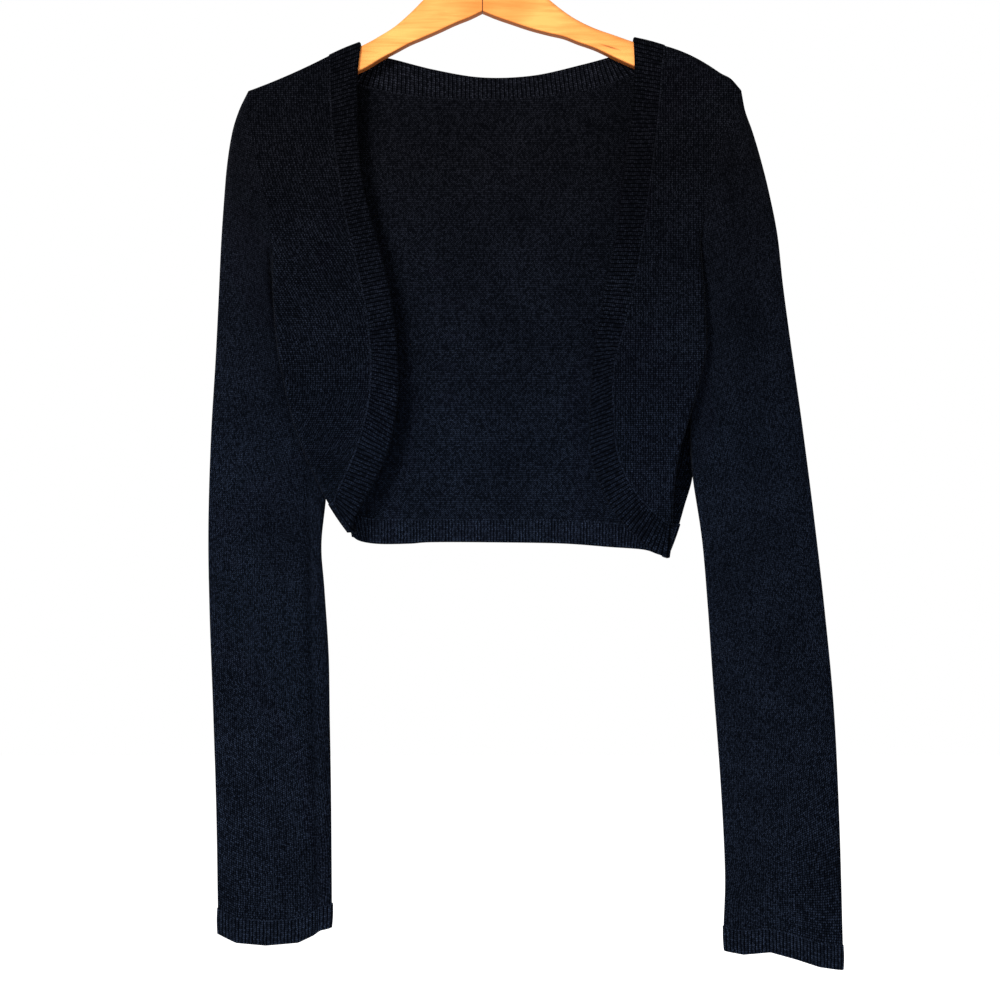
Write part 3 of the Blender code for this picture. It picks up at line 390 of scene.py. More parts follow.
def knit_material(name, wale, course, light, reverse=False, ribs=0.0, grain=1.0):
    """Fine knit in one black yarn, light at its yarn's brightest.

    A face stitch is a V: with a the distance from the wale's middle line and b the fraction of
    course + LEG_SLOPE a, its height is (1 - (4 a - 1)^2) (1 - (2 b - 1)^2). The reverse has waved bars of
    height 1 - (2 b - 1)^2 with b the fraction of course + BAR_WAVE cos(2 pi wale). The colour darkens
    between the stitches and, away from the reverse, toward the valleys of wales and ribs: partly the dark
    gaps between the yarns, partly painted shade in those recesses. Each stitch takes its own tone at random
    by grain, and below a set height the cloth turns a little bluer and paler over a fifth of a metre: a
    painted lighting gradient, paler lower down.
    """
    material, links, shader, add = new_material(name)

    def calc(operation, first, second=0.0, third=0.0, clamp=False):
        return add("Math", {0: first, 1: second, 2: third}, operation=operation, use_clamp=clamp).outputs[0]

    def arch(value):
        return calc("SUBTRACT", 1.0, calc("MULTIPLY", value, value))

    parts = add("SeparateXYZ", {0: add("UVMap", uv_map="stitches").outputs[0]})
    wales = calc("DIVIDE", parts.outputs["X"], wale)
    courses = calc("DIVIDE", parts.outputs["Y"], course)
    aside = calc("ABSOLUTE", calc("SUBTRACT", calc("FRACT", wales), 0.5))
    if reverse:
        wave = calc("COSINE", calc("MULTIPLY", wales, 2 * math.pi))
        lifted = calc("MULTIPLY_ADD", wave, BAR_WAVE, courses)
    else:
        lifted = calc("MULTIPLY_ADD", aside, LEG_SLOPE, courses)
    relief = arch(calc("SUBTRACT", calc("MULTIPLY", calc("FRACT", lifted), 2.0), 1.0))
    if not reverse:
        leg = calc("SUBTRACT", calc("MULTIPLY", aside, 4.0), 1.0)
        relief = calc("MULTIPLY", arch(leg), relief)
    halves = calc("FLOOR", calc("MULTIPLY", wales, 2.0))
    stitch = add("CombineXYZ", {0: halves, 1: calc("FLOOR", lifted)})
    noise = add("TexWhiteNoise", {0: stitch.outputs[0]}, noise_dimensions="2D")
    shade = calc("POWER", noise.outputs["Value"], STITCH_POWER)
    thing = add("TexCoord").outputs["Object"]
    fluff = add("TexNoise", {"Vector": thing, "Scale": FLUFF_SCALE, "Detail": 2.0, "Roughness": 0.6})
    fluff = fluff.outputs["Fac"]
    slow = add("TexNoise", {"Vector": thing, "Scale": MOTTLE_SCALE, "Detail": 1.0}).outputs["Fac"]
    tone = calc("MULTIPLY_ADD", shade, 2.7 * grain, 0.62)
    # Painted shade: darker between the stitch legs and courses, partly the real gaps between the yarns.
    tone = calc("MULTIPLY", calc("POWER", relief, STITCH_POWER), tone)
    if ribs:
        tone = calc("ADD", tone, 0.12)
    # Painted shade: away from the reverse, the colour darkens toward the valleys of wales and ribs.
    if not reverse:
        rise, base = (2.9 * ribs, 1.0 - 0.95 * ribs) if ribs else (2.4, 0.03)
        crest = calc("SUBTRACT", 1.0, calc("MULTIPLY", aside, 2.0))
        tone = calc("MULTIPLY", tone, calc("MULTIPLY_ADD", calc("POWER", crest, CREST_POWER), rise, base))
    tone = calc("MULTIPLY", tone, calc("MULTIPLY_ADD", fluff, 3.2, -0.7, clamp=True))
    tone = calc("MULTIPLY", tone, calc("MULTIPLY_ADD", slow, 0.7, 0.65))
    # Painted light: the yarn colour is mixed by height, paler and bluer lower down, standing in for how the
    # light falls.
    height = add("SeparateXYZ", {0: thing}).outputs["Z"]
    down = add("MapRange", {"Value": height, "From Min": PAINTED_LIGHT_FROM, "From Max": PAINTED_LIGHT_TO})
    yarn = add("Mix", {"Factor": down.outputs[0]}, data_type="RGBA")
    yarn.inputs["A"].default_value = [light * part for part in YARN_PAINTED_LIGHT_ABOVE] + [1.0]
    yarn.inputs["B"].default_value = [light * part for part in YARN_PAINTED_LIGHT_BELOW] + [1.0]
    colour = add("Mix", {"Factor": tone}, data_type="RGBA", clamp_factor=False)
    colour.inputs["A"].default_value = GAP_AND_SHADE_COLOUR
    links.new(yarn.outputs["Result"], colour.inputs["B"])
    raised = calc("MULTIPLY_ADD", fluff, 0.6, relief)
    bump = add("Bump", {"Height": raised, "Strength": 0.7, "Distance": 0.0003})
    links.new(colour.outputs["Result"], shader.inputs["Base Color"])
    links.new(bump.outputs["Normal"], shader.inputs["Normal"])
    shader.inputs["Roughness"].default_value = 0.95
    shader.inputs["Specular IOR Level"].default_value = 0.0
    shader.inputs["Sheen Weight"].default_value = 0.024
    shader.inputs["Sheen Roughness"].default_value = 0.26
    shader.inputs["Sheen Tint"].default_value = (0.85, 0.88, 0.95, 1.0)
    return material


plain_face = knit_material("black_plain_knit", WALE, COURSE, YARN_SHADE)
# The reverse side's own bar pattern in a copy of the same yarn at 0.62 of its brightness: painted shade for
# the back, recessed behind the fronts.
plain_reverse_shaded = knit_material("black_knit_reverse_shaded", WALE, COURSE, YARN_SHADE * 0.62, reverse=True)

# Creases of the fronts: start x, y; end x, y; width in steps; rise in mm, less than nothing for a trough.
FRONT_CREASES = [
    (262, 118, 300, 330, 16, 0.7),
    (300, 96, 345, 250, 14, -0.5),
    (296, 330, 352, 300, 12, 0.5),
    (286, 372, 356, 420, 13, -0.6),
    (300, 392, 344, 470, 10, 0.5),
    (735, 100, 672, 300, 16, 0.7),
    (700, 90, 655, 240, 12, -0.45),
    (730, 100, 706, 270, 5, 1.6),
    (713, 108, 697, 310, 6, -1.6),
    (700, 330, 628, 360, 13, 0.5),
    (694, 372, 626, 412, 13, -0.6),
    (682, 402, 640, 486, 10, 0.5),
]
right_body = columns_of(RIGHT_BODY)
left_body = columns_of(LEFT_BODY)


def front_rows(body):
    """Coarse rows of a front panel, each worked out by body_row, joined by smooth_rows."""
    rows = [body_row((body["band_x"][i], body["band_y"][i]), (body["fold_x"][i], body["fold_y"][i]),
                     body["seam_x"][i], body["end_y"][i], (body["band_deep"][i], body["fold_deep"][i]),
                     body["tuck"][i], body["crown"][i], FRONT_SHARES, KNIT_THICK / 2)
            for i in range(len(body["tuck"]))]
    return smooth_rows(np.array(rows))


def body_stitches(grid, first_x):
    """Stitch coordinates: u is the distance run in plan from first_x, v the way down with depth."""
    plan = np.linalg.norm(np.diff(grid[..., :2], axis=1), axis=2)
    u = first_x + np.concatenate([np.zeros((len(grid), 1)), np.cumsum(plan, axis=1)], axis=1)
    fall = np.linalg.norm(np.diff(grid[..., 1:], axis=0), axis=2)
    v = np.concatenate([-grid[:1, :, 2], fall]).cumsum(axis=0)
    return np.stack([u, v], axis=2)


fronts = {}
for name, body, flat, area in (
    ("front_right", right_body, (0.112, 0.35), 0.0215),
    ("front_left", left_body, (0.10, 0.36), 0.0195),
):
    grid = creased(front_rows(body), FRONT_CREASES)
    normal = turned_toward(grid_normals(grid), np.array([0.0, -1.0, 0.0]))
    fronts[name] = grid
    panel = shell(name + "_panel", grid, flat_normals(grid, normal), body_stitches(grid, grid[:, :1, 0]),
                  [plain_face, plain_reverse_shaded])
    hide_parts(name)

# Back. One plain-knit panel from side seam to side seam, curved at the neck and at the hem, with its knit
# reverse toward the viewer. Its sides fold in behind the sleeves as the fronts do before them.
BACK_FOLD_LEFT = [(16, 700, 404), (17, 698, 431), (18, 696, 456), (19, 693, 482), (20, 686, 505),
                  (21, 680, 525)]
BACK_MIDDLE_Y = [97.5, 112, 130, 150, 172, 200, 228, 257, 282, 305, 328, 350, 370, 399, 428, 455, 478,
                 500, 520]
BACK_DEEP = 7.6
MIDDLE_SHARES = np.linspace(0, 1, 82)[1:-1]
NECK_RISE = 12
NECK_ROW = 3
NECK_FADE = 6
LEVEL_ROW = 5
KNEE_ROW = 15
LOW_SPREAD = 0.3
BACK_SHARES = np.linspace(0, 1, 25)
NECK_SEAM = [(331, 64.5), (340, 73), (358, 82), (390, 90.5), (435, 96), (482.5, 97.5),
             (535, 95.6), (585, 88), (622, 77), (648, 65), (663, 55)]
NECK_FREE = [(360, 52.4), (365, 53.1), (372, 54.1), (392, 58), (435, 68.9), (482.5, 76.5),
             (533, 74.6), (581, 64), (611, 55.8), (624, 51.3), (634, 47.5)]
HEM_SEAM = [(330, 504), (340, 509), (352, 515), (366, 519), (400, 520.3), (482.5, 520), (560, 520.6),
            (610, 523.5), (645, 527), (680, 525)]
BACK_CREASES = [
    (352, 120, 420, 330, 26, 0.9),
    (640, 120, 560, 360, 26, 0.9),
    (430, 110, 470, 400, 30, -0.8),
    (545, 150, 520, 470, 28, -0.7),
    (300, 200, 340, 460, 14, 0.7),
    (690, 200, 660, 470, 14, 0.7),
    (370, 470, 610, 492, 18, 0.5),
]
neck_curve = smooth_rows(NECK_SEAM)
hem_curve = smooth_rows(HEM_SEAM)
back_body = {key: values.copy() for key, values in left_body.items()}
for row, x, y in BACK_FOLD_LEFT:
    back_body["fold_x"][row] = x
    back_body["fold_y"][row] = y


def behind(points):
    """The same points on the back half."""
    return points * np.array([1.0, -1.0, 1.0])


def joined_halves(halves, x, heights):
    """A row of the back: its right half, a middle through the given steps, and its left half."""
    ends = [halves[0][0][1], BACK_DEEP, BACK_DEEP, halves[1][0][1]]
    deep = np.interp(MIDDLE_SHARES, [0, 0.25, 0.75, 1], ends)
    middle = np.column_stack([across_mm(x), deep, height_mm(heights)])
    return np.concatenate([halves[0][::-1], middle, halves[1]])


def back_rows(right, left):
    """Coarse rows of the back, right side, middle and left side, joined by smooth_rows."""
    count = len(right["tuck"])
    rows = []
    for i in range(count):
        fade = float(np.clip((i - FOLDED_ROW) / (count - 1 - FOLDED_ROW), 0, 1)) ** 2
        halves = []
        knees = []
        for body in (right, left):
            knee_x = body["band_x"][min(i, KNEE_ROW)]
            knee_y = body["band_y"][min(i, KNEE_ROW)]
            low = np.interp(knee_x, *hem_curve.T)
            if i > KNEE_ROW:
                knee_y = knee_y + (low - knee_y) * (i - KNEE_ROW) / (count - 1 - KNEE_ROW)
            fold = (body["fold_x"][i], body["fold_y"][i])
            deep = BACK_DEEP if i >= LEVEL_ROW else body["band_deep"][i]
            if i > KNEE_ROW:
                deep = BACK_DEEP + (body["fold_deep"][i] - BACK_DEEP) * LOW_SPREAD
            knees.append((knee_x, knee_y))

            def bottom(x, heights, part, last=i == count - 1, ends=sorted([fold, (knee_x, knee_y)])):
                shift = np.interp(x, *hem_curve.T) - np.interp(x, *zip(*ends))
                return np.where((part < 1) & last, heights + shift, heights)

            halves.append(behind(body_row(knees[-1], fold, body["seam_x"][i], body["end_y"][i],
                                          (deep, body["fold_deep"][i]), body["tuck"][i], body["crown"][i],
                                          BACK_SHARES, KNIT_THICK / 2, bottom)))
        (x0, y0), (x1, y1) = knees
        x = x0 + (x1 - x0) * MIDDLE_SHARES
        heights = np.interp(x, [x0, MIDDLE_X, x1], [y0, BACK_MIDDLE_Y[max(i - NECK_ROW, 0)], y1])
        neck_share = float(np.clip(1 - (i - NECK_ROW) / NECK_FADE, 0, 1))
        for curve, amount in ((neck_curve, neck_share), (hem_curve, fade)):
            chord = np.interp(x, [x0, MIDDLE_X, x1], np.interp([x0, MIDDLE_X, x1], *curve.T))
            heights = heights + (np.interp(x, *curve.T) - chord) * amount
        heights = heights - NECK_RISE * max(NECK_ROW - i, 0)
        rows.append(joined_halves(halves, x, heights))
    return smooth_rows(np.array(rows))


back = creased(back_rows(right_body, back_body), BACK_CREASES)
normal = turned_toward(grid_normals(back), np.array([0.0, 1.0, 0.0]))
knee_column = len(BACK_SHARES) + TURN_FINE - 1
neck_row = NECK_ROW * ROW_CELLS
missing = np.zeros((len(back) - 1, back.shape[1] - 1), bool)
missing[:neck_row, knee_column:-knee_column] = True
centre = back.shape[1] // 2
stitches = body_stitches(back, 0.0)
stitches[..., 0] -= stitches[:, centre:centre + 1, 0]
panel = shell("back_panel", back, flat_normals(back, normal), stitches, [plain_face, plain_reverse_shaded],
              missing=missing)
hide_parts("back")

# Sleeves. Long set-in sleeves in the same knit, joined round the armhole and hanging flat beside the body;
# each is a flattened tube from the armhole down to the cuff.
SLEEVE_HALF = 5.6
ARMHOLE_LAP = 0.35
UNDERARM_HALF = 3.6
LAP_DEPTH = 1.9
SHALLOW_TUCK = 5
DEEP_TUCK = 8
LAPS = (-0.6, 0.8)
LOOP_RINGS = 6
HANG_FROM = 9
RING_CELLS = 10
FLATNESS = 0.75
GROOVE_CLEAR = 1.6
GROOVE_SLOPE = 0.8
SPREAD = [0, 3.5, 4.5, 4, 3, 1.5]
UNDER = 15
AROUND_CELLS = 5
RIGHT_SLEEVE = [
    (248, 94, 326, 354), (239, 112, 326, 372), (232, 134, 326, 392), (227, 165, 326, 415),
    (224, 200, 326, 440), (221, 245, 326, 468), (218.5, 300, 326, 498), (215.5, 360, 321.5, 545),
    (210.8, 440, 324.6, 590), (208.3, 530, 328.8, 655), (209.6, 615, 329.8, 715), (213, 708, 331, 780),
    (216.2, 810, 331.6, 845), (217.8, 909, 332, 904),
]
LEFT_SLEEVE = [
    (741.5, 92, 691.5, 360), (745.5, 112, 691.5, 378), (753, 133, 691, 395), (761, 160, 690.5, 412),
    (769, 192, 690, 436), (777.5, 235, 691, 460), (783, 285, 693.5, 484), (791, 345, 702, 540),
    (801.6, 420, 707.6, 605), (813.8, 515, 712.8, 680), (825, 613, 718.6, 755), (834, 710, 723, 825),
    (839.4, 820, 725, 880), (843, 946, 723.4, 927),
]
RIGHT_SAG = [(0, 0), (0.16, 9), (0.43, 13), (0.72, 12), (0.85, 6), (0.92, 1.5), (1, 0)]
LEFT_SAG = [(0, 0), (0.2, 0), (0.4, -4), (0.62, -7), (0.85, 0), (1, 0)]
SLEEVE_CREASES = [
    (722, 130, 744, 600, 13, 1.8),
    (754, 170, 778, 600, 11, -1.0),
    (702, 420, 722, 640, 9, -0.8),
    (760, 520, 792, 900, 14, 0.7),
    (742, 640, 764, 930, 11, -0.6),
    (262, 320, 276, 640, 16, 0.6),
    (738, 112, 731, 240, 4.5, -0.9),
    (309, 440, 313, 760, 4, -2.2),
    (313, 640, 319, 1010, 4, -2.6),
    (299, 500, 303, 900, 9, 0.5),
    (240, 560, 246, 900, 12, -0.5),
    (268, 660, 274, 930, 13, 0.6),
]


def flat_ring(outer, inner, half, angles, inset, sag, side):
    """A flattened ring between two outline points: a share (1 - cos a) / 2 of the way across and
    half sign(sin a) |sin a|^FLATNESS deep, with its line dropped by sag."""
    share = (1 - np.cos(angles)) / 2
    first = np.array([across_mm(outer[0]) - side * inset, height_mm(outer[1])])
    last = np.array([across_mm(inner[0]) + side * inset, height_mm(inner[1])])
    drop = np.interp(share, *np.array(sag).T) * STEP
    depth = half * np.sign(np.sin(angles)) * np.abs(np.sin(angles)) ** FLATNESS
    return np.column_stack([first[0] + (last[0] - first[0]) * share, -depth,
                            first[1] + (last[1] - first[1]) * share - drop])


def stay_behind(ring, body, side):
    """A ring with its depth held inside the groove wherever the body's fold lies in front of it."""
    heights = -ring[:, 2] / STEP + ROD_Y
    fold_x, fold_y = body["fold_x"][FOLDED_ROW:], body["fold_y"][FOLDED_ROW:]
    fold = side * np.interp(heights, fold_y, across_mm(fold_x))
    limit = SLEEVE_HALF + np.clip(side * ring[:, 0] - fold - GROOVE_CLEAR, 0, 20) * GROOVE_SLOPE
    depth = np.abs(ring[:, 1])
    held = np.where(heights > fold_y[0], np.minimum(depth, limit), depth)
    return np.column_stack([ring[:, 0], np.sign(ring[:, 1]) * held, ring[:, 2]])


def sleeve_rings(panel, rows, sag, side, body):
    """Rings of a sleeve: the first follows the armhole, and after LOOP_RINGS they are flat rings."""
    angles = full_turn(2 * UNDER)
    edge = panel[:(UNDER + 1) * ROW_CELLS:ROW_CELLS, -1]
    before = panel[:(UNDER + 1) * ROW_CELLS:ROW_CELLS, -TURN_FINE // TURN_CELLS - 1]
    outward = unit(edge - before)
    tuck = body["tuck"][:UNDER + 1]
    depth = np.abs(edge[:, 1])
    below = np.where(tuck > 0, np.maximum(depth - LAP_DEPTH, SLEEVE_HALF), depth)
    below[tuck > DEEP_TUCK] = SLEEVE_HALF
    below[UNDER - 1] = UNDERARM_HALF
    lap = np.zeros(len(tuck))
    lap[(tuck > 0) & (tuck < SHALLOW_TUCK)] = LAPS[0]
    lap[(tuck > SHALLOW_TUCK) & (tuck < DEEP_TUCK)] = LAPS[1]
    armhole = edge - outward * np.where(tuck > 0, 0, ARMHOLE_LAP)[:, None]
    armhole[:, 0] -= side * lap
    armhole[:, 1] = -below
    armhole[0, 1] = 0
    armhole[UNDER] = [across_mm(rows[0][2]) + side * KNIT_THICK / 2, 0, height_mm(rows[0][3])]
    loop = np.concatenate([armhole, behind(armhole[1:-1][::-1])])
    plain = flat_ring(rows[0][:2], rows[0][2:], SLEEVE_HALF, angles, KNIT_THICK / 2, [(0, 0), (1, 0)], side)
    rings = []
    for index, row in enumerate(rows):
        hang = max(0.0, (index - HANG_FROM) / (len(rows) - 1 - HANG_FROM)) ** 1.5
        ring_sag = [(share, drop * hang) for share, drop in sag]
        ring = flat_ring(row[:2], row[2:], SLEEVE_HALF, angles, KNIT_THICK / 2, ring_sag, side)
        ring = ring + (loop - plain) * max(0.0, 1 - index / LOOP_RINGS) ** 1.5
        if index < len(SPREAD):
            ring[:, 0] += side * SPREAD[index] * np.sin(angles) ** 2
        rings.append(stay_behind(ring, body, side) if index else ring)
    fine = smooth_rows(np.array(rings), RING_CELLS)
    return smooth_rows(fine.swapaxes(0, 1), AROUND_CELLS, closed=True).swapaxes(0, 1)


# Painted light: the sleeves take a 6 % lighter copy of the plain knit in the same yarn.
lit_sleeve_face = knit_material("black_sleeve_knit_lit", WALE, COURSE, YARN_SHADE * 1.06, grain=1.3)
sleeves = {}
for name, front, rows, sag, side, body, flat, area in (
    ("sleeve_right", "front_right", RIGHT_SLEEVE, RIGHT_SAG, -1.0, right_body, (0.19, 0.58), 0.081),
    ("sleeve_left", "front_left", LEFT_SLEEVE, LEFT_SAG, 1.0, left_body, (0.20, 0.60), 0.088),
):
    tube = creased(sleeve_rings(fronts[front], rows, sag, side, body), SLEEVE_CREASES)
    normal = turned_toward(grid_normals(tube, closed=True), tube - tube.mean(axis=1, keepdims=True))
    around = np.linalg.norm(np.diff(tube, axis=1, append=tube[:, :1]), axis=2)
    u = np.cumsum(around, axis=1) - around
    u = u - u[:, UNDER * AROUND_CELLS // 2, None]
    fall = np.linalg.norm(np.diff(tube, axis=0), axis=2).mean(axis=1)
    v = np.concatenate([[0], np.cumsum(fall)])[:, None] + np.zeros(u.shape)
    sleeves[name] = tube
    piece = shell(name + "_tube", tube, normal, np.stack([u, v], axis=2), [lit_sleeve_face, plain_reverse_shaded],
                  closed=True)
    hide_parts(name)

# Front bands. Ribbed bands in the same yarn, linked edge to edge along each front and round its lower
# corner to the side seam; the ribs stand square to the band's length.
BAND_THICK = 1.7
RIB_RISE = 0.55
FRONT_PITCH = 2.9
RIB_CELLS = 8
BAND_CELLS = 9
BAND_CROWN = 0.35
RIM_ANGLES = np.radians([60, 30, 0, -30, -60])
RIM_LENGTHS = [1.04, 1.07, 1.09, 1.07, 1.04]
INNER_RISE = 0.6
LINK_LAP = 0.3
RIGHT_CORNER = (347.5, 531, 356, 532.5)
LEFT_CORNER = (669, 557, 663.5, 556)
LINK_RADIUS = 0.55
LINK_RISE = 0.9
LINK_SHIFT = -0.3
LINK_STITCH = 1.75
LINK_SWAY = 0.12
LINK_MARK = 0.225
LINK_CELLS = 5
LINK_SIDES = 8
rib_face = knit_material("black_rib_knit", 1.0, 1.45, YARN_SHADE, ribs=1.0)
# Painted shade: the front bands take a copy of the rib knit in the same yarn at about half its brightness.
soft_shaded_rib_face = knit_material("black_soft_rib_knit_shaded", 1.0, 1.45, YARN_SHADE * 0.52, ribs=0.9, grain=1.3)
# Painted highlight: the linking chain is a 20 % lighter copy of the same yarn along the raised seams.
lit_link_yarn = knit_material("black_linking_yarn_lit", 0.9, 0.9, YARN_SHADE * 1.2)


def tube_faces(rings, closed=False, capped=True):
    """Quads of a tube through rings of points. Where its length isn't closed, its ends are capped, or left
    as they are where each end ring is one point."""
    rows, columns = rings.shape[:2]
    number = np.arange(rows * columns).reshape(rows, columns)
    number = np.concatenate([number, number[:, :1]], axis=1)
    if closed:
        number = np.concatenate([number, number[:1]], axis=0)
    faces = quads(number).reshape(-1, 4)
    if closed or not capped:
        return faces
    left = np.arange(columns // 2)
    right = columns - 1 - left
    cap = np.column_stack([left[:-1], left[1:], right[1:], right[:-1]])
    return np.concatenate([faces, cap[:, ::-1], cap + (rows - 1) * columns])


def ribbed_band(name, seam, free, pitch, outward, closed=False, rise=RIB_RISE, face=rib_face):
    """A ribbed band between two long edges. Across it the outer face is BAND_THICK / 2 from the middle
    plus a low crown, and each rib adds rise (1/2 - cos(2 pi t) / 2)^0.8 with t the way along in pitches;
    inside, the ribs lie half a pitch on and are INNER_RISE as high. The free edge is rounded. The edges of
    a closed band end at their first point."""
    along = lengths_along((seam + free) / 2)
    ribs = int(round(along[-1] / pitch))
    turns = np.linspace(0, ribs, ribs * RIB_CELLS + 1)
    spots = turns * along[-1] / ribs
    lines = [interpolated(spots, along, line) for line in (seam, free)]
    across = lines[1] - lines[0]
    width = np.linalg.norm(across, axis=1, keepdims=True)
    across = across / width
    lines[0] = lines[0] - across * LINK_LAP
    share = np.linspace(0, 1, BAND_CELLS + 1)[:, None, None]
    middle = lines[0] + (lines[1] - lines[0]) * share
    normal = turned_toward(grid_normals(middle), outward(middle))
    if closed:
        middle, normal, turns, across = middle[:, :-1], normal[:, :-1], turns[:-1], across[:-1]
    half = BAND_THICK / 2
    crown = BAND_CROWN * np.sin(math.pi * share)
    ridge = rise * (0.5 - 0.5 * np.cos(2 * math.pi * turns)) ** 0.8
    valley = rise * (0.5 + 0.5 * np.cos(2 * math.pi * turns)) ** 0.8
    outer = middle + normal * (half + crown + ridge[None, :, None])
    inner = middle - normal * (half + valley[None, :, None] * INNER_RISE - crown)
    rim = []
    for angle in RIM_ANGLES:
        edge = np.where(angle > 0, ridge, valley * INNER_RISE) * abs(math.sin(angle)) + half
        out = across * half * (math.cos(angle) - 0.2)
        rim.append(middle[-1] + normal[-1] * edge[:, None] * math.sin(angle) + out)
    ring = np.concatenate([outer, np.array(rim), inner[::-1]])
    lengths = np.concatenate([share[:, 0, 0], RIM_LENGTHS, share[::-1, 0, 0]])
    stitches = np.stack(np.broadcast_arrays(turns[None, :], lengths[:, None] * width.mean()), axis=2)
    ring = ring.swapaxes(0, 1)
    return cloth_mesh(name, ring, tube_faces(ring, closed), stitches.swapaxes(0, 1), [face])


def linking(name, seam, free, outward, closed=False):
    """The chain that links a band to its panel, one tube on each side of the cloth: rings of radius
    LINK_RADIUS (0.72 + 0.28 |sin(pi s / LINK_STITCH)|) round the seam line moved out by LINK_RISE, with a
    sway of LINK_SWAY sin(2 pi s / LINK_STITCH)."""
    length = lengths_along(seam)[-1]
    stitches = int(round(length / LINK_STITCH))
    spots = np.linspace(0, length, stitches * LINK_CELLS + 1)
    line = resample(seam, spots)
    across = unit(interpolated(spots, lengths_along(seam), free) - line)
    tangent = unit(np.gradient(line, axis=0))
    normal = turned_toward(np.cross(across, tangent), outward(line[None])[0])
    sway = np.sin(2 * math.pi * spots / length * stitches)[:, None] * LINK_SWAY
    swell = 0.72 + 0.28 * np.abs(np.sin(math.pi * spots / length * stitches))
    angles = full_turn(LINK_SIDES)
    points, faces = [], []
    for side in (1.0, -1.0):
        middle = line + normal * LINK_RISE * side + across * (LINK_SHIFT + sway)
        spokes = (np.cos(angles)[None, :, None] * across[:, None] * 1.25
                  + np.sin(angles)[None, :, None] * np.cross(tangent, across)[:, None])
        rings = middle[:, None] + LINK_RADIUS * swell[:, None, None] * spokes
        if closed:
            rings = rings[:-1]
        faces.append(tube_faces(rings, closed) + len(points) * LINK_SIDES)
        points.extend(rings)
    points = np.array(points)
    along = np.tile(np.repeat(spots[:len(points) // 2], LINK_SIDES), 2)
    uv = np.column_stack([np.full(len(along), LINK_MARK), along])
    return cloth_mesh(name, points, np.concatenate(faces), uv, [lit_link_yarn])


def from_middle(grid):
    """Directions away from the middle plane."""
    return grid * np.array([0.0, 1.0, 0.0])


def free_line(body):
    """The free edge of a body's band down its front."""
    return np.column_stack([across_mm(body["free_x"]), -body["band_deep"], height_mm(body["free_y"])])


for name, front, body, corner, length in (
    ("front_band_right", "front_right", right_body, RIGHT_CORNER, 0.41),
    ("front_band_left", "front_left", left_body, LEFT_CORNER, 0.44),
):
    panel = fronts[front]
    start = (body["free_x"][-1], body["free_y"][-1])
    turn = body_row(start, corner[:2], corner[2], corner[3], (body["band_deep"][-1], 10.0), 99, 0,
                    FRONT_SHARES, BAND_THICK / 2 + RIB_RISE)
    free = creased(np.concatenate([smooth_rows(free_line(body)), turn[1:]]), FRONT_CREASES)
    seam = np.concatenate([panel[:, 0], panel[-1, 1:]])
    band = ribbed_band(name + "_ribs", seam, free, FRONT_PITCH, from_middle, face=soft_shaded_rib_face)
    linking(name + "_linking", seam, free, from_middle)
    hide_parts(name)

# Neck band. The same ribbed band in the same yarn, linked to the top of the back and carried on over both
# shoulders, where it meets the front bands.
NECK_PITCH = 3.1
neck_free = smooth_rows([(across_mm(x), BACK_DEEP, height_mm(y)) for x, y in NECK_FREE])
ends = [smooth_rows(behind(free_line(body)[:NECK_ROW + 1]))[:-1] for body in (right_body, left_body)]
neck_steps = np.interp(back[neck_row, knee_column:-knee_column, 0], across_mm(neck_curve[:, 0]),
                       np.arange(len(neck_curve)))
neck_free = interpolated(neck_steps, np.arange(len(neck_free)), neck_free)
neck_seam = np.concatenate([back[:neck_row, knee_column], back[neck_row, knee_column:-knee_column],
                            back[:neck_row, -knee_column - 1][::-1]])
neck_free = np.concatenate([ends[0], neck_free, ends[1][::-1]])
linking("neck_band_linking", neck_seam, neck_free, from_middle)
band = ribbed_band("neck_band_ribs", neck_seam, neck_free, NECK_PITCH, from_middle)
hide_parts("neck_band")

# Hem band. Finer, tighter ribs in the same yarn, linked along the back's lower edge, with both ends round
# the side folds.
HEM_PITCH = 2.33
HEM_RISE = 0.7
HEM_DEEP = (8.4, 10.0)
HEM_EDGE = [(347, 531), (353, 537), (361, 541), (380, 543.4), (410, 543), (430, 541.6), (482.5, 541.6),
            (560, 542.8), (610, 546.4), (644, 549), (658, 553.4), (669, 557)]
edge_curve = smooth_rows(HEM_EDGE)


def along_hem(x, heights, part):
    """Heights of the hem's lower edge on the layer, and the row's own heights past the fold."""
    return np.where(part < 1, np.interp(x, *edge_curve.T), heights)


halves = []
for corner, anchor, body in (
    (RIGHT_CORNER, HEM_EDGE[0], right_body),
    (LEFT_CORNER, HEM_EDGE[-1], back_body),
):
    knee_x = body["band_x"][KNEE_ROW]
    halves.append(behind(body_row((knee_x, np.interp(knee_x, *edge_curve.T)), anchor, corner[2], corner[3],
                                  HEM_DEEP, 99, 0, BACK_SHARES, BAND_THICK / 2 + RIB_RISE, along_hem)))
x = right_body["band_x"][KNEE_ROW] + (knee_x - right_body["band_x"][KNEE_ROW]) * MIDDLE_SHARES
hem_free = creased(joined_halves(halves, x, np.interp(x, *edge_curve.T)), BACK_CREASES)
linking("hem_band_linking", back[-1], hem_free, from_middle)
band = ribbed_band("hem_band_ribs", back[-1], hem_free, HEM_PITCH, from_middle, rise=HEM_RISE)
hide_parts("hem_band")

# Cuffs. A ribbed ring in the same yarn, linked under each sleeve, its lower edge curved as it hangs; its
# ribs are as high as those of the hem.
CUFF_PITCH = 2.55
RIGHT_CUFF = (217, 933, 332, 927)
LEFT_CUFF = (844, 969, 723.4, 950)
CUFF_HALF = SLEEVE_HALF - 0.3


def from_axis(grid):
    """Directions away from the tube's own middle."""
    return grid - grid.mean(axis=(0, 1))


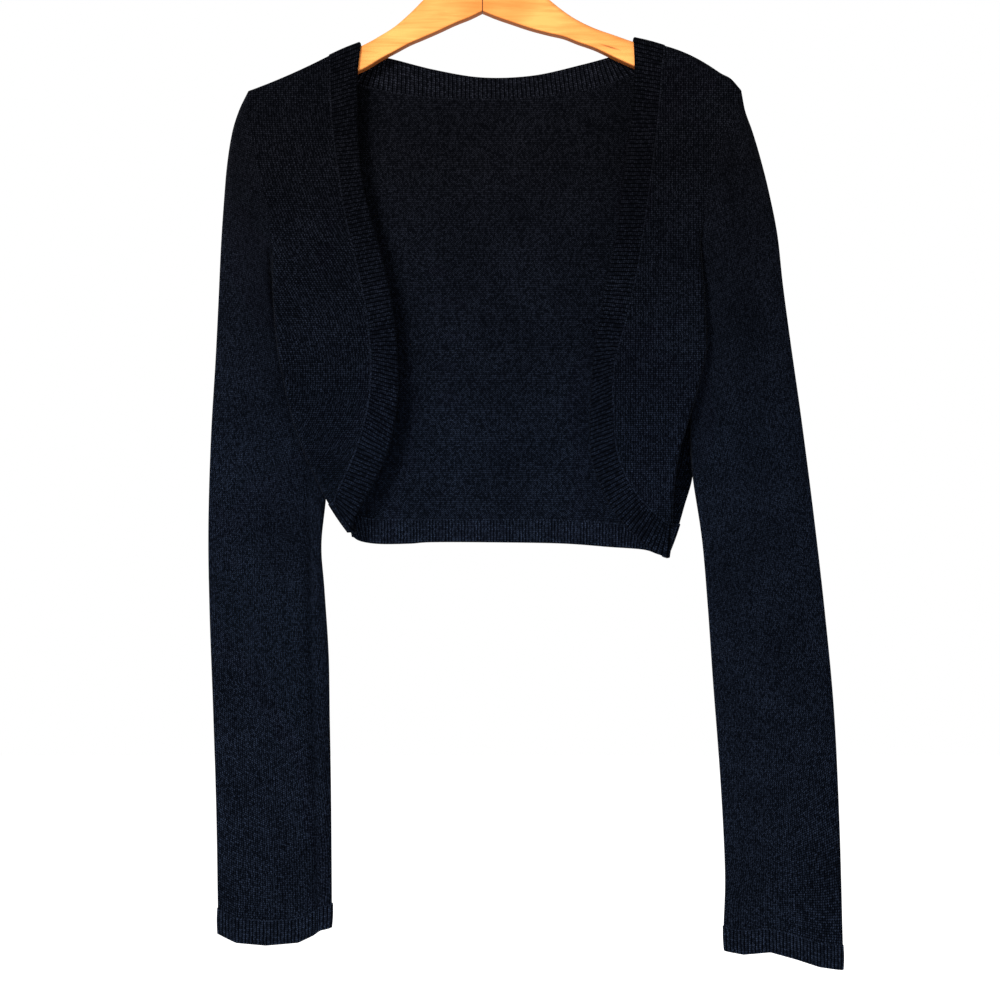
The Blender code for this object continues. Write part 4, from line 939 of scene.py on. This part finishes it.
for name, sleeve, low, sag, side in (
    ("cuff_right", "sleeve_right", RIGHT_CUFF, RIGHT_SAG, -1.0),
    ("cuff_left", "sleeve_left", LEFT_CUFF, LEFT_SAG, 1.0),
):
    top = sleeves[sleeve][-1]
    inset = BAND_THICK / 2 + RIB_RISE
    bottom = flat_ring(low[:2], low[2:], CUFF_HALF, full_turn(len(top)), inset, sag, side)
    bottom = creased(bottom, SLEEVE_CREASES)
    top, bottom = (np.vstack([edge, edge[:1]]) for edge in (top, bottom))
    linking(name + "_linking", top, bottom, from_axis, closed=True)
    band = ribbed_band(name + "_ribs", top, bottom, CUFF_PITCH, from_axis, closed=True, rise=HEM_RISE)
    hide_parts(name)

# Hanger arms. Two halves of pale orange-brown wood, rounded above, with a thin flat lower edge, butted on
# the middle line; they carry the garment's shoulders.
ARM_DEEP = 12.0
ARM_CORNER = 4.6
ARM_EDGE = 2.0
ARM_RIGHT = [
    (482.3, -52, 13), (470, -46, 19), (455, -31, 25), (440, -15, 32), (424, 0, 39), (410, 14, 45),
    (395, 27, 53), (380, 36.5, 61), (363, 45.8, 71), (331, 59.5, 84), (300, 73, 96), (272, 85.4, 106),
    (262, 90, 108), (257.5, 94, 106),
]
ARM_LEFT = [
    (482.7, -52, 13), (496, -46, 18.5), (512, -33, 24), (530, -17, 30), (549, 0, 35), (564, 12, 38.5),
    (578, 21, 44), (595, 29, 50), (615, 36, 59.5), (634, 42.7, 68), (648, 46.7, 73), (663, 50.5, 78),
    (671, 53.3, 81), (690, 61.2, 88), (712, 72.5, 97), (722, 79.5, 100), (727, 85, 98),
]
ARM_CELLS = 6
TIP_CELLS = 12
TIP_NARROWING = 0.45
LEAST_FLAT = 0.8
JOINT_HALF = 0.03
STREAK_MIDDLE = (0.0914, 0.0, -0.1394)
STREAK_TURN = 0.30
STREAK_SIZE = (0.0095, 0.05, 0.0009)
GRAIN_SCALE = (16.0, 260.0, 260.0)
WOOD_DARK = (0.64, 0.195, 0.042, 1)
WOOD_LIGHT = (0.88, 0.345, 0.092, 1)
STREAK_COLOUR = (0.34, 0.10, 0.024, 1)
# Painted shade along the arms' lower edge.
UNDERSIDE_SHADE_COLOUR = (0.20, 0.055, 0.012, 1)
JOINT_COLOUR = (0.09, 0.03, 0.012, 1)
wood, links, shader, add = new_material("varnished_wood")
thing = add("TexCoord").outputs["Object"]
stretched = add("Mapping", {"Vector": thing, "Scale": GRAIN_SCALE})
grain = add("TexNoise", {"Vector": stretched.outputs[0], "Scale": 1.0, "Detail": 5.0, "Roughness": 0.62,
                         "Distortion": 0.6})
broad = add("TexNoise", {"Vector": thing, "Scale": 22.0, "Detail": 2.0})
mix = add("Math", {0: grain.outputs["Fac"], 1: broad.outputs["Fac"]}, operation="MULTIPLY")
ramp = add("ValToRGB", {"Fac": mix.outputs[0]})
ramp.color_ramp.elements[0].position = 0.12
ramp.color_ramp.elements[0].color = WOOD_DARK
ramp.color_ramp.elements[1].position = 0.34
ramp.color_ramp.elements[1].color = WOOD_LIGHT


def darkened(base, colour, value, low, high):
    """The base colour turned to the given one where value is low or less, and left alone from high on."""
    light = add("MapRange", {"Value": value, "From Min": low, "From Max": high})
    mixed = add("Mix", {"Factor": light.outputs[0], "B": base}, data_type="RGBA")
    mixed.inputs["A"].default_value = colour
    return mixed.outputs["Result"]


bump = add("Bump", {"Height": grain.outputs["Fac"], "Strength": 0.25, "Distance": 0.0003})
from_streak = add("Mapping", {"Vector": thing, "Location": STREAK_MIDDLE, "Scale": STREAK_SIZE,
                              "Rotation": (0.0, STREAK_TURN, 0.0)}, vector_type="TEXTURE")
from_streak = add("VectorMath", {0: from_streak.outputs[0]}, operation="LENGTH").outputs["Value"]
marks = add("SeparateXYZ", {0: add("UVMap", uv_map="stitches").outputs[0]})
from_joint = add("Math", {0: marks.outputs["X"]}, operation="ABSOLUTE").outputs[0]
colour = darkened(ramp.outputs["Color"], STREAK_COLOUR, from_streak, 0.25, 1.0)
# Painted shade: the wood darkens within about a millimetre of each arm's lower edge.
colour = darkened(colour, UNDERSIDE_SHADE_COLOUR, marks.outputs["Y"], 0.2, 1.2)
colour = darkened(colour, JOINT_COLOUR, from_joint, 0.25, 0.5)
links.new(colour, shader.inputs["Base Color"])
links.new(bump.outputs["Normal"], shader.inputs["Normal"])
shader.inputs["Roughness"].default_value = 0.6
shader.inputs["Specular IOR Level"].default_value = 0.05


def arm_rings(stations):
    """Closed sections along an arm: quarter circles of ARM_CORNER above and ARM_EDGE below, between the
    top and bottom lines, narrowed at the tip."""
    stations = smooth_rows(stations, ARM_CELLS)
    count = len(stations)
    upper_turn = np.radians(np.linspace(0, 90, 9))
    lower_turn = np.radians(np.linspace(0, 90, 6))
    rings = []
    for index, (x, top, bottom) in enumerate(stations):
        high, low = height_mm(top), height_mm(bottom)
        from_tip = (count - 1 - index) / TIP_CELLS
        wide = ARM_DEEP / 2 * (1 - TIP_NARROWING * max(0.0, 1 - from_tip) ** 2)
        upper = min(ARM_CORNER, wide - LEAST_FLAT, (high - low) * 0.42)
        lower = min(ARM_EDGE, wide - LEAST_FLAT)
        depth = np.concatenate([-(wide - upper) - upper * np.sin(upper_turn),
                                -(wide - lower) - lower * np.cos(lower_turn)])
        z = np.concatenate([high - upper + upper * np.cos(upper_turn),
                            low + lower - lower * np.sin(lower_turn)])
        along = across_mm(x) if index else math.copysign(JOINT_HALF, across_mm(x))
        ring = np.column_stack([np.full(len(depth), along), depth, z])
        rings.append(np.concatenate([ring, behind(ring)[::-1]]))
    return np.array(rings)


for name, stations in (("hanger_arm_right", ARM_RIGHT), ("hanger_arm_left", ARM_LEFT)):
    rings = arm_rings(stations)
    above = rings[..., 2] - rings[..., 2].min(axis=1, keepdims=True)
    marks = np.stack([rings[..., 0], above], axis=2)
    arm = cloth_mesh(name + "_wood", rings, tube_faces(rings), marks, [wood])
    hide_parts(name)

# Hanger hook. A bent wire of polished steel, straight out of the wood between the arms and round over the
# rod; its tip is drawn in a little.
WIRE = 1.75
HOOK_RADIUS = 20.0
WIRE_SIDES = 20
HOOK_FROM = -58
HOOK_TO = 206
HOOK_FOOT = -52
TIP_SHARE = 0.6
STEEL_DARK = (0.52, 0.52, 0.54, 1)
STEEL_LIGHT = (0.74, 0.74, 0.76, 1)
steel, links, shader, add = new_material("polished_steel")
thing = add("TexCoord").outputs["Object"]
drawn = add("TexNoise", {"Vector": thing, "Scale": 900.0, "Detail": 2.0})
tone = add("ValToRGB", {"Fac": drawn.outputs["Fac"]})
tone.color_ramp.elements[0].color = STEEL_DARK
tone.color_ramp.elements[1].color = STEEL_LIGHT
links.new(tone.outputs["Color"], shader.inputs["Base Color"])
shader.inputs["Metallic"].default_value = 1.0
shader.inputs["Roughness"].default_value = 0.24


def hook_line():
    """The wire's middle line: straight up, a cubic sweep to the right, then an arc of HOOK_RADIUS."""
    centre_z = WIRE - HOOK_RADIUS
    foot = height_mm(HOOK_FOOT) + 0.3
    start = math.radians(HOOK_FROM)
    join = np.array([HOOK_RADIUS * math.cos(start), centre_z + HOOK_RADIUS * math.sin(start)])
    tangent = np.array([-math.sin(start), math.cos(start)])
    corners = [np.array([0.0, foot + 13]), np.array([0.0, foot + 20]), join - tangent * 7.0, join]
    share = np.linspace(0, 1, 13)[:-1, None]
    rest = 1 - share
    weights = [rest ** 3, 3 * rest ** 2 * share, 3 * rest * share ** 2, share ** 3]
    sweep = sum(weight * corner for weight, corner in zip(weights, corners))
    angle = np.linspace(start, math.radians(HOOK_TO), 60)
    arc = np.column_stack([HOOK_RADIUS * np.cos(angle), centre_z + HOOK_RADIUS * np.sin(angle)])
    line = np.concatenate([[[0.0, foot], [0.0, foot + 5], [0.0, foot + 9]], sweep, arc])
    return np.column_stack([line[:, 0], np.zeros(len(line)), line[:, 1]])


def wire_tube(line, radii, sides):
    """Rings of the given radii round a line in the XZ plane: p + r (cos a n + sin a y)."""
    tangent = unit(np.gradient(line, axis=0))
    aside = np.cross(tangent, [0.0, 1.0, 0.0])
    angle = full_turn(sides)
    deep = np.sin(angle)[None, :, None] * np.array([0.0, 1.0, 0.0])
    spokes = np.cos(angle)[None, :, None] * aside[:, None] + deep
    return line[:, None] + np.asarray(radii)[:, None, None] * spokes


line = hook_line()
radii = np.full(len(line), WIRE)
radii[-1] = WIRE * TIP_SHARE
tube = wire_tube(line, radii, WIRE_SIDES)
foot_end, tip_end = (np.repeat(line[index][None, None], WIRE_SIDES, axis=1) for index in (0, -1))
tube = np.concatenate([foot_end, tube, tip_end])
hook = cloth_mesh("hanger_hook_wire", tube, tube_faces(tube, capped=False), tube[..., :2], [steel])
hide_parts("hanger_hook")

# Studio. A pale floor far below, an even white surround, a broad soft light from the upper left, a weaker
# one behind on the right and the camera at the photograph's place.
PHOTO_WIDE = 0.72
CAMERA_FROM = 1.70
PHOTO_CENTRE = (0.0126, -0.4644)
SENSOR = 36
SURROUND_LIGHT = 0.55
LIGHT_AIM = (0.0, 0.0, -0.45)
FLOOR_HALF = 6.0
FLOOR_Z = -1.3
FLOOR_GLOW = 0.6


def soft_light(name, place, size, power):
    """A square area light at place, turned to LIGHT_AIM."""
    lamp = bpy.data.lights.new(name, "AREA")
    lamp.energy = power
    lamp.size = size
    thing = placed(name, lamp)
    thing.location = place
    thing.rotation_euler = (Vector(LIGHT_AIM) - Vector(place)).to_track_quat("-Z", "Y").to_euler()


world = bpy.data.worlds.new("white_surround")
bpy.context.scene.world = world
world.use_nodes = True
surround = world.node_tree.nodes["Background"]
surround.inputs["Color"].default_value = (1, 1, 1, 1)
seen = world.node_tree.nodes.new("ShaderNodeLightPath")
strength = world.node_tree.nodes.new("ShaderNodeMapRange")
strength.inputs["To Min"].default_value = SURROUND_LIGHT
world.node_tree.links.new(seen.outputs["Is Camera Ray"], strength.inputs["Value"])
world.node_tree.links.new(strength.outputs["Result"], surround.inputs["Strength"])
soft_light("key_light", (-1.2, -1.9, 0.6), 0.6, 70)
soft_light("rear_light", (1.4, 2.1, 0.7), 1.0, 45)
bpy.context.scene.view_settings.view_transform = "Standard"
camera = bpy.data.cameras.new("photo_camera")
camera.sensor_width = SENSOR
camera.lens = SENSOR * CAMERA_FROM / PHOTO_WIDE
viewer = placed("photo_camera", camera)
viewer.location = (PHOTO_CENTRE[0], -CAMERA_FROM, PHOTO_CENTRE[1])
viewer.rotation_euler = (math.pi / 2, 0, 0)
bpy.context.scene.camera = viewer

floor_mesh = bpy.data.meshes.new("pale_floor")
corners = [(x * FLOOR_HALF, y * FLOOR_HALF, FLOOR_Z) for x, y in ((-1, -1), (1, -1), (1, 1), (-1, 1))]
floor_mesh.from_pydata(corners, [], [(0, 1, 2, 3)])
pale, links, shader, add = new_material("pale_floor")
shader.inputs["Base Color"].default_value = (0.97, 0.97, 0.97, 1)
shader.inputs["Roughness"].default_value = 1.0
shader.inputs["Emission Color"].default_value = (1, 1, 1, 1)
shader.inputs["Emission Strength"].default_value = FLOOR_GLOW
floor_mesh.materials.append(pale)
floor = placed("pale_floor", floor_mesh)
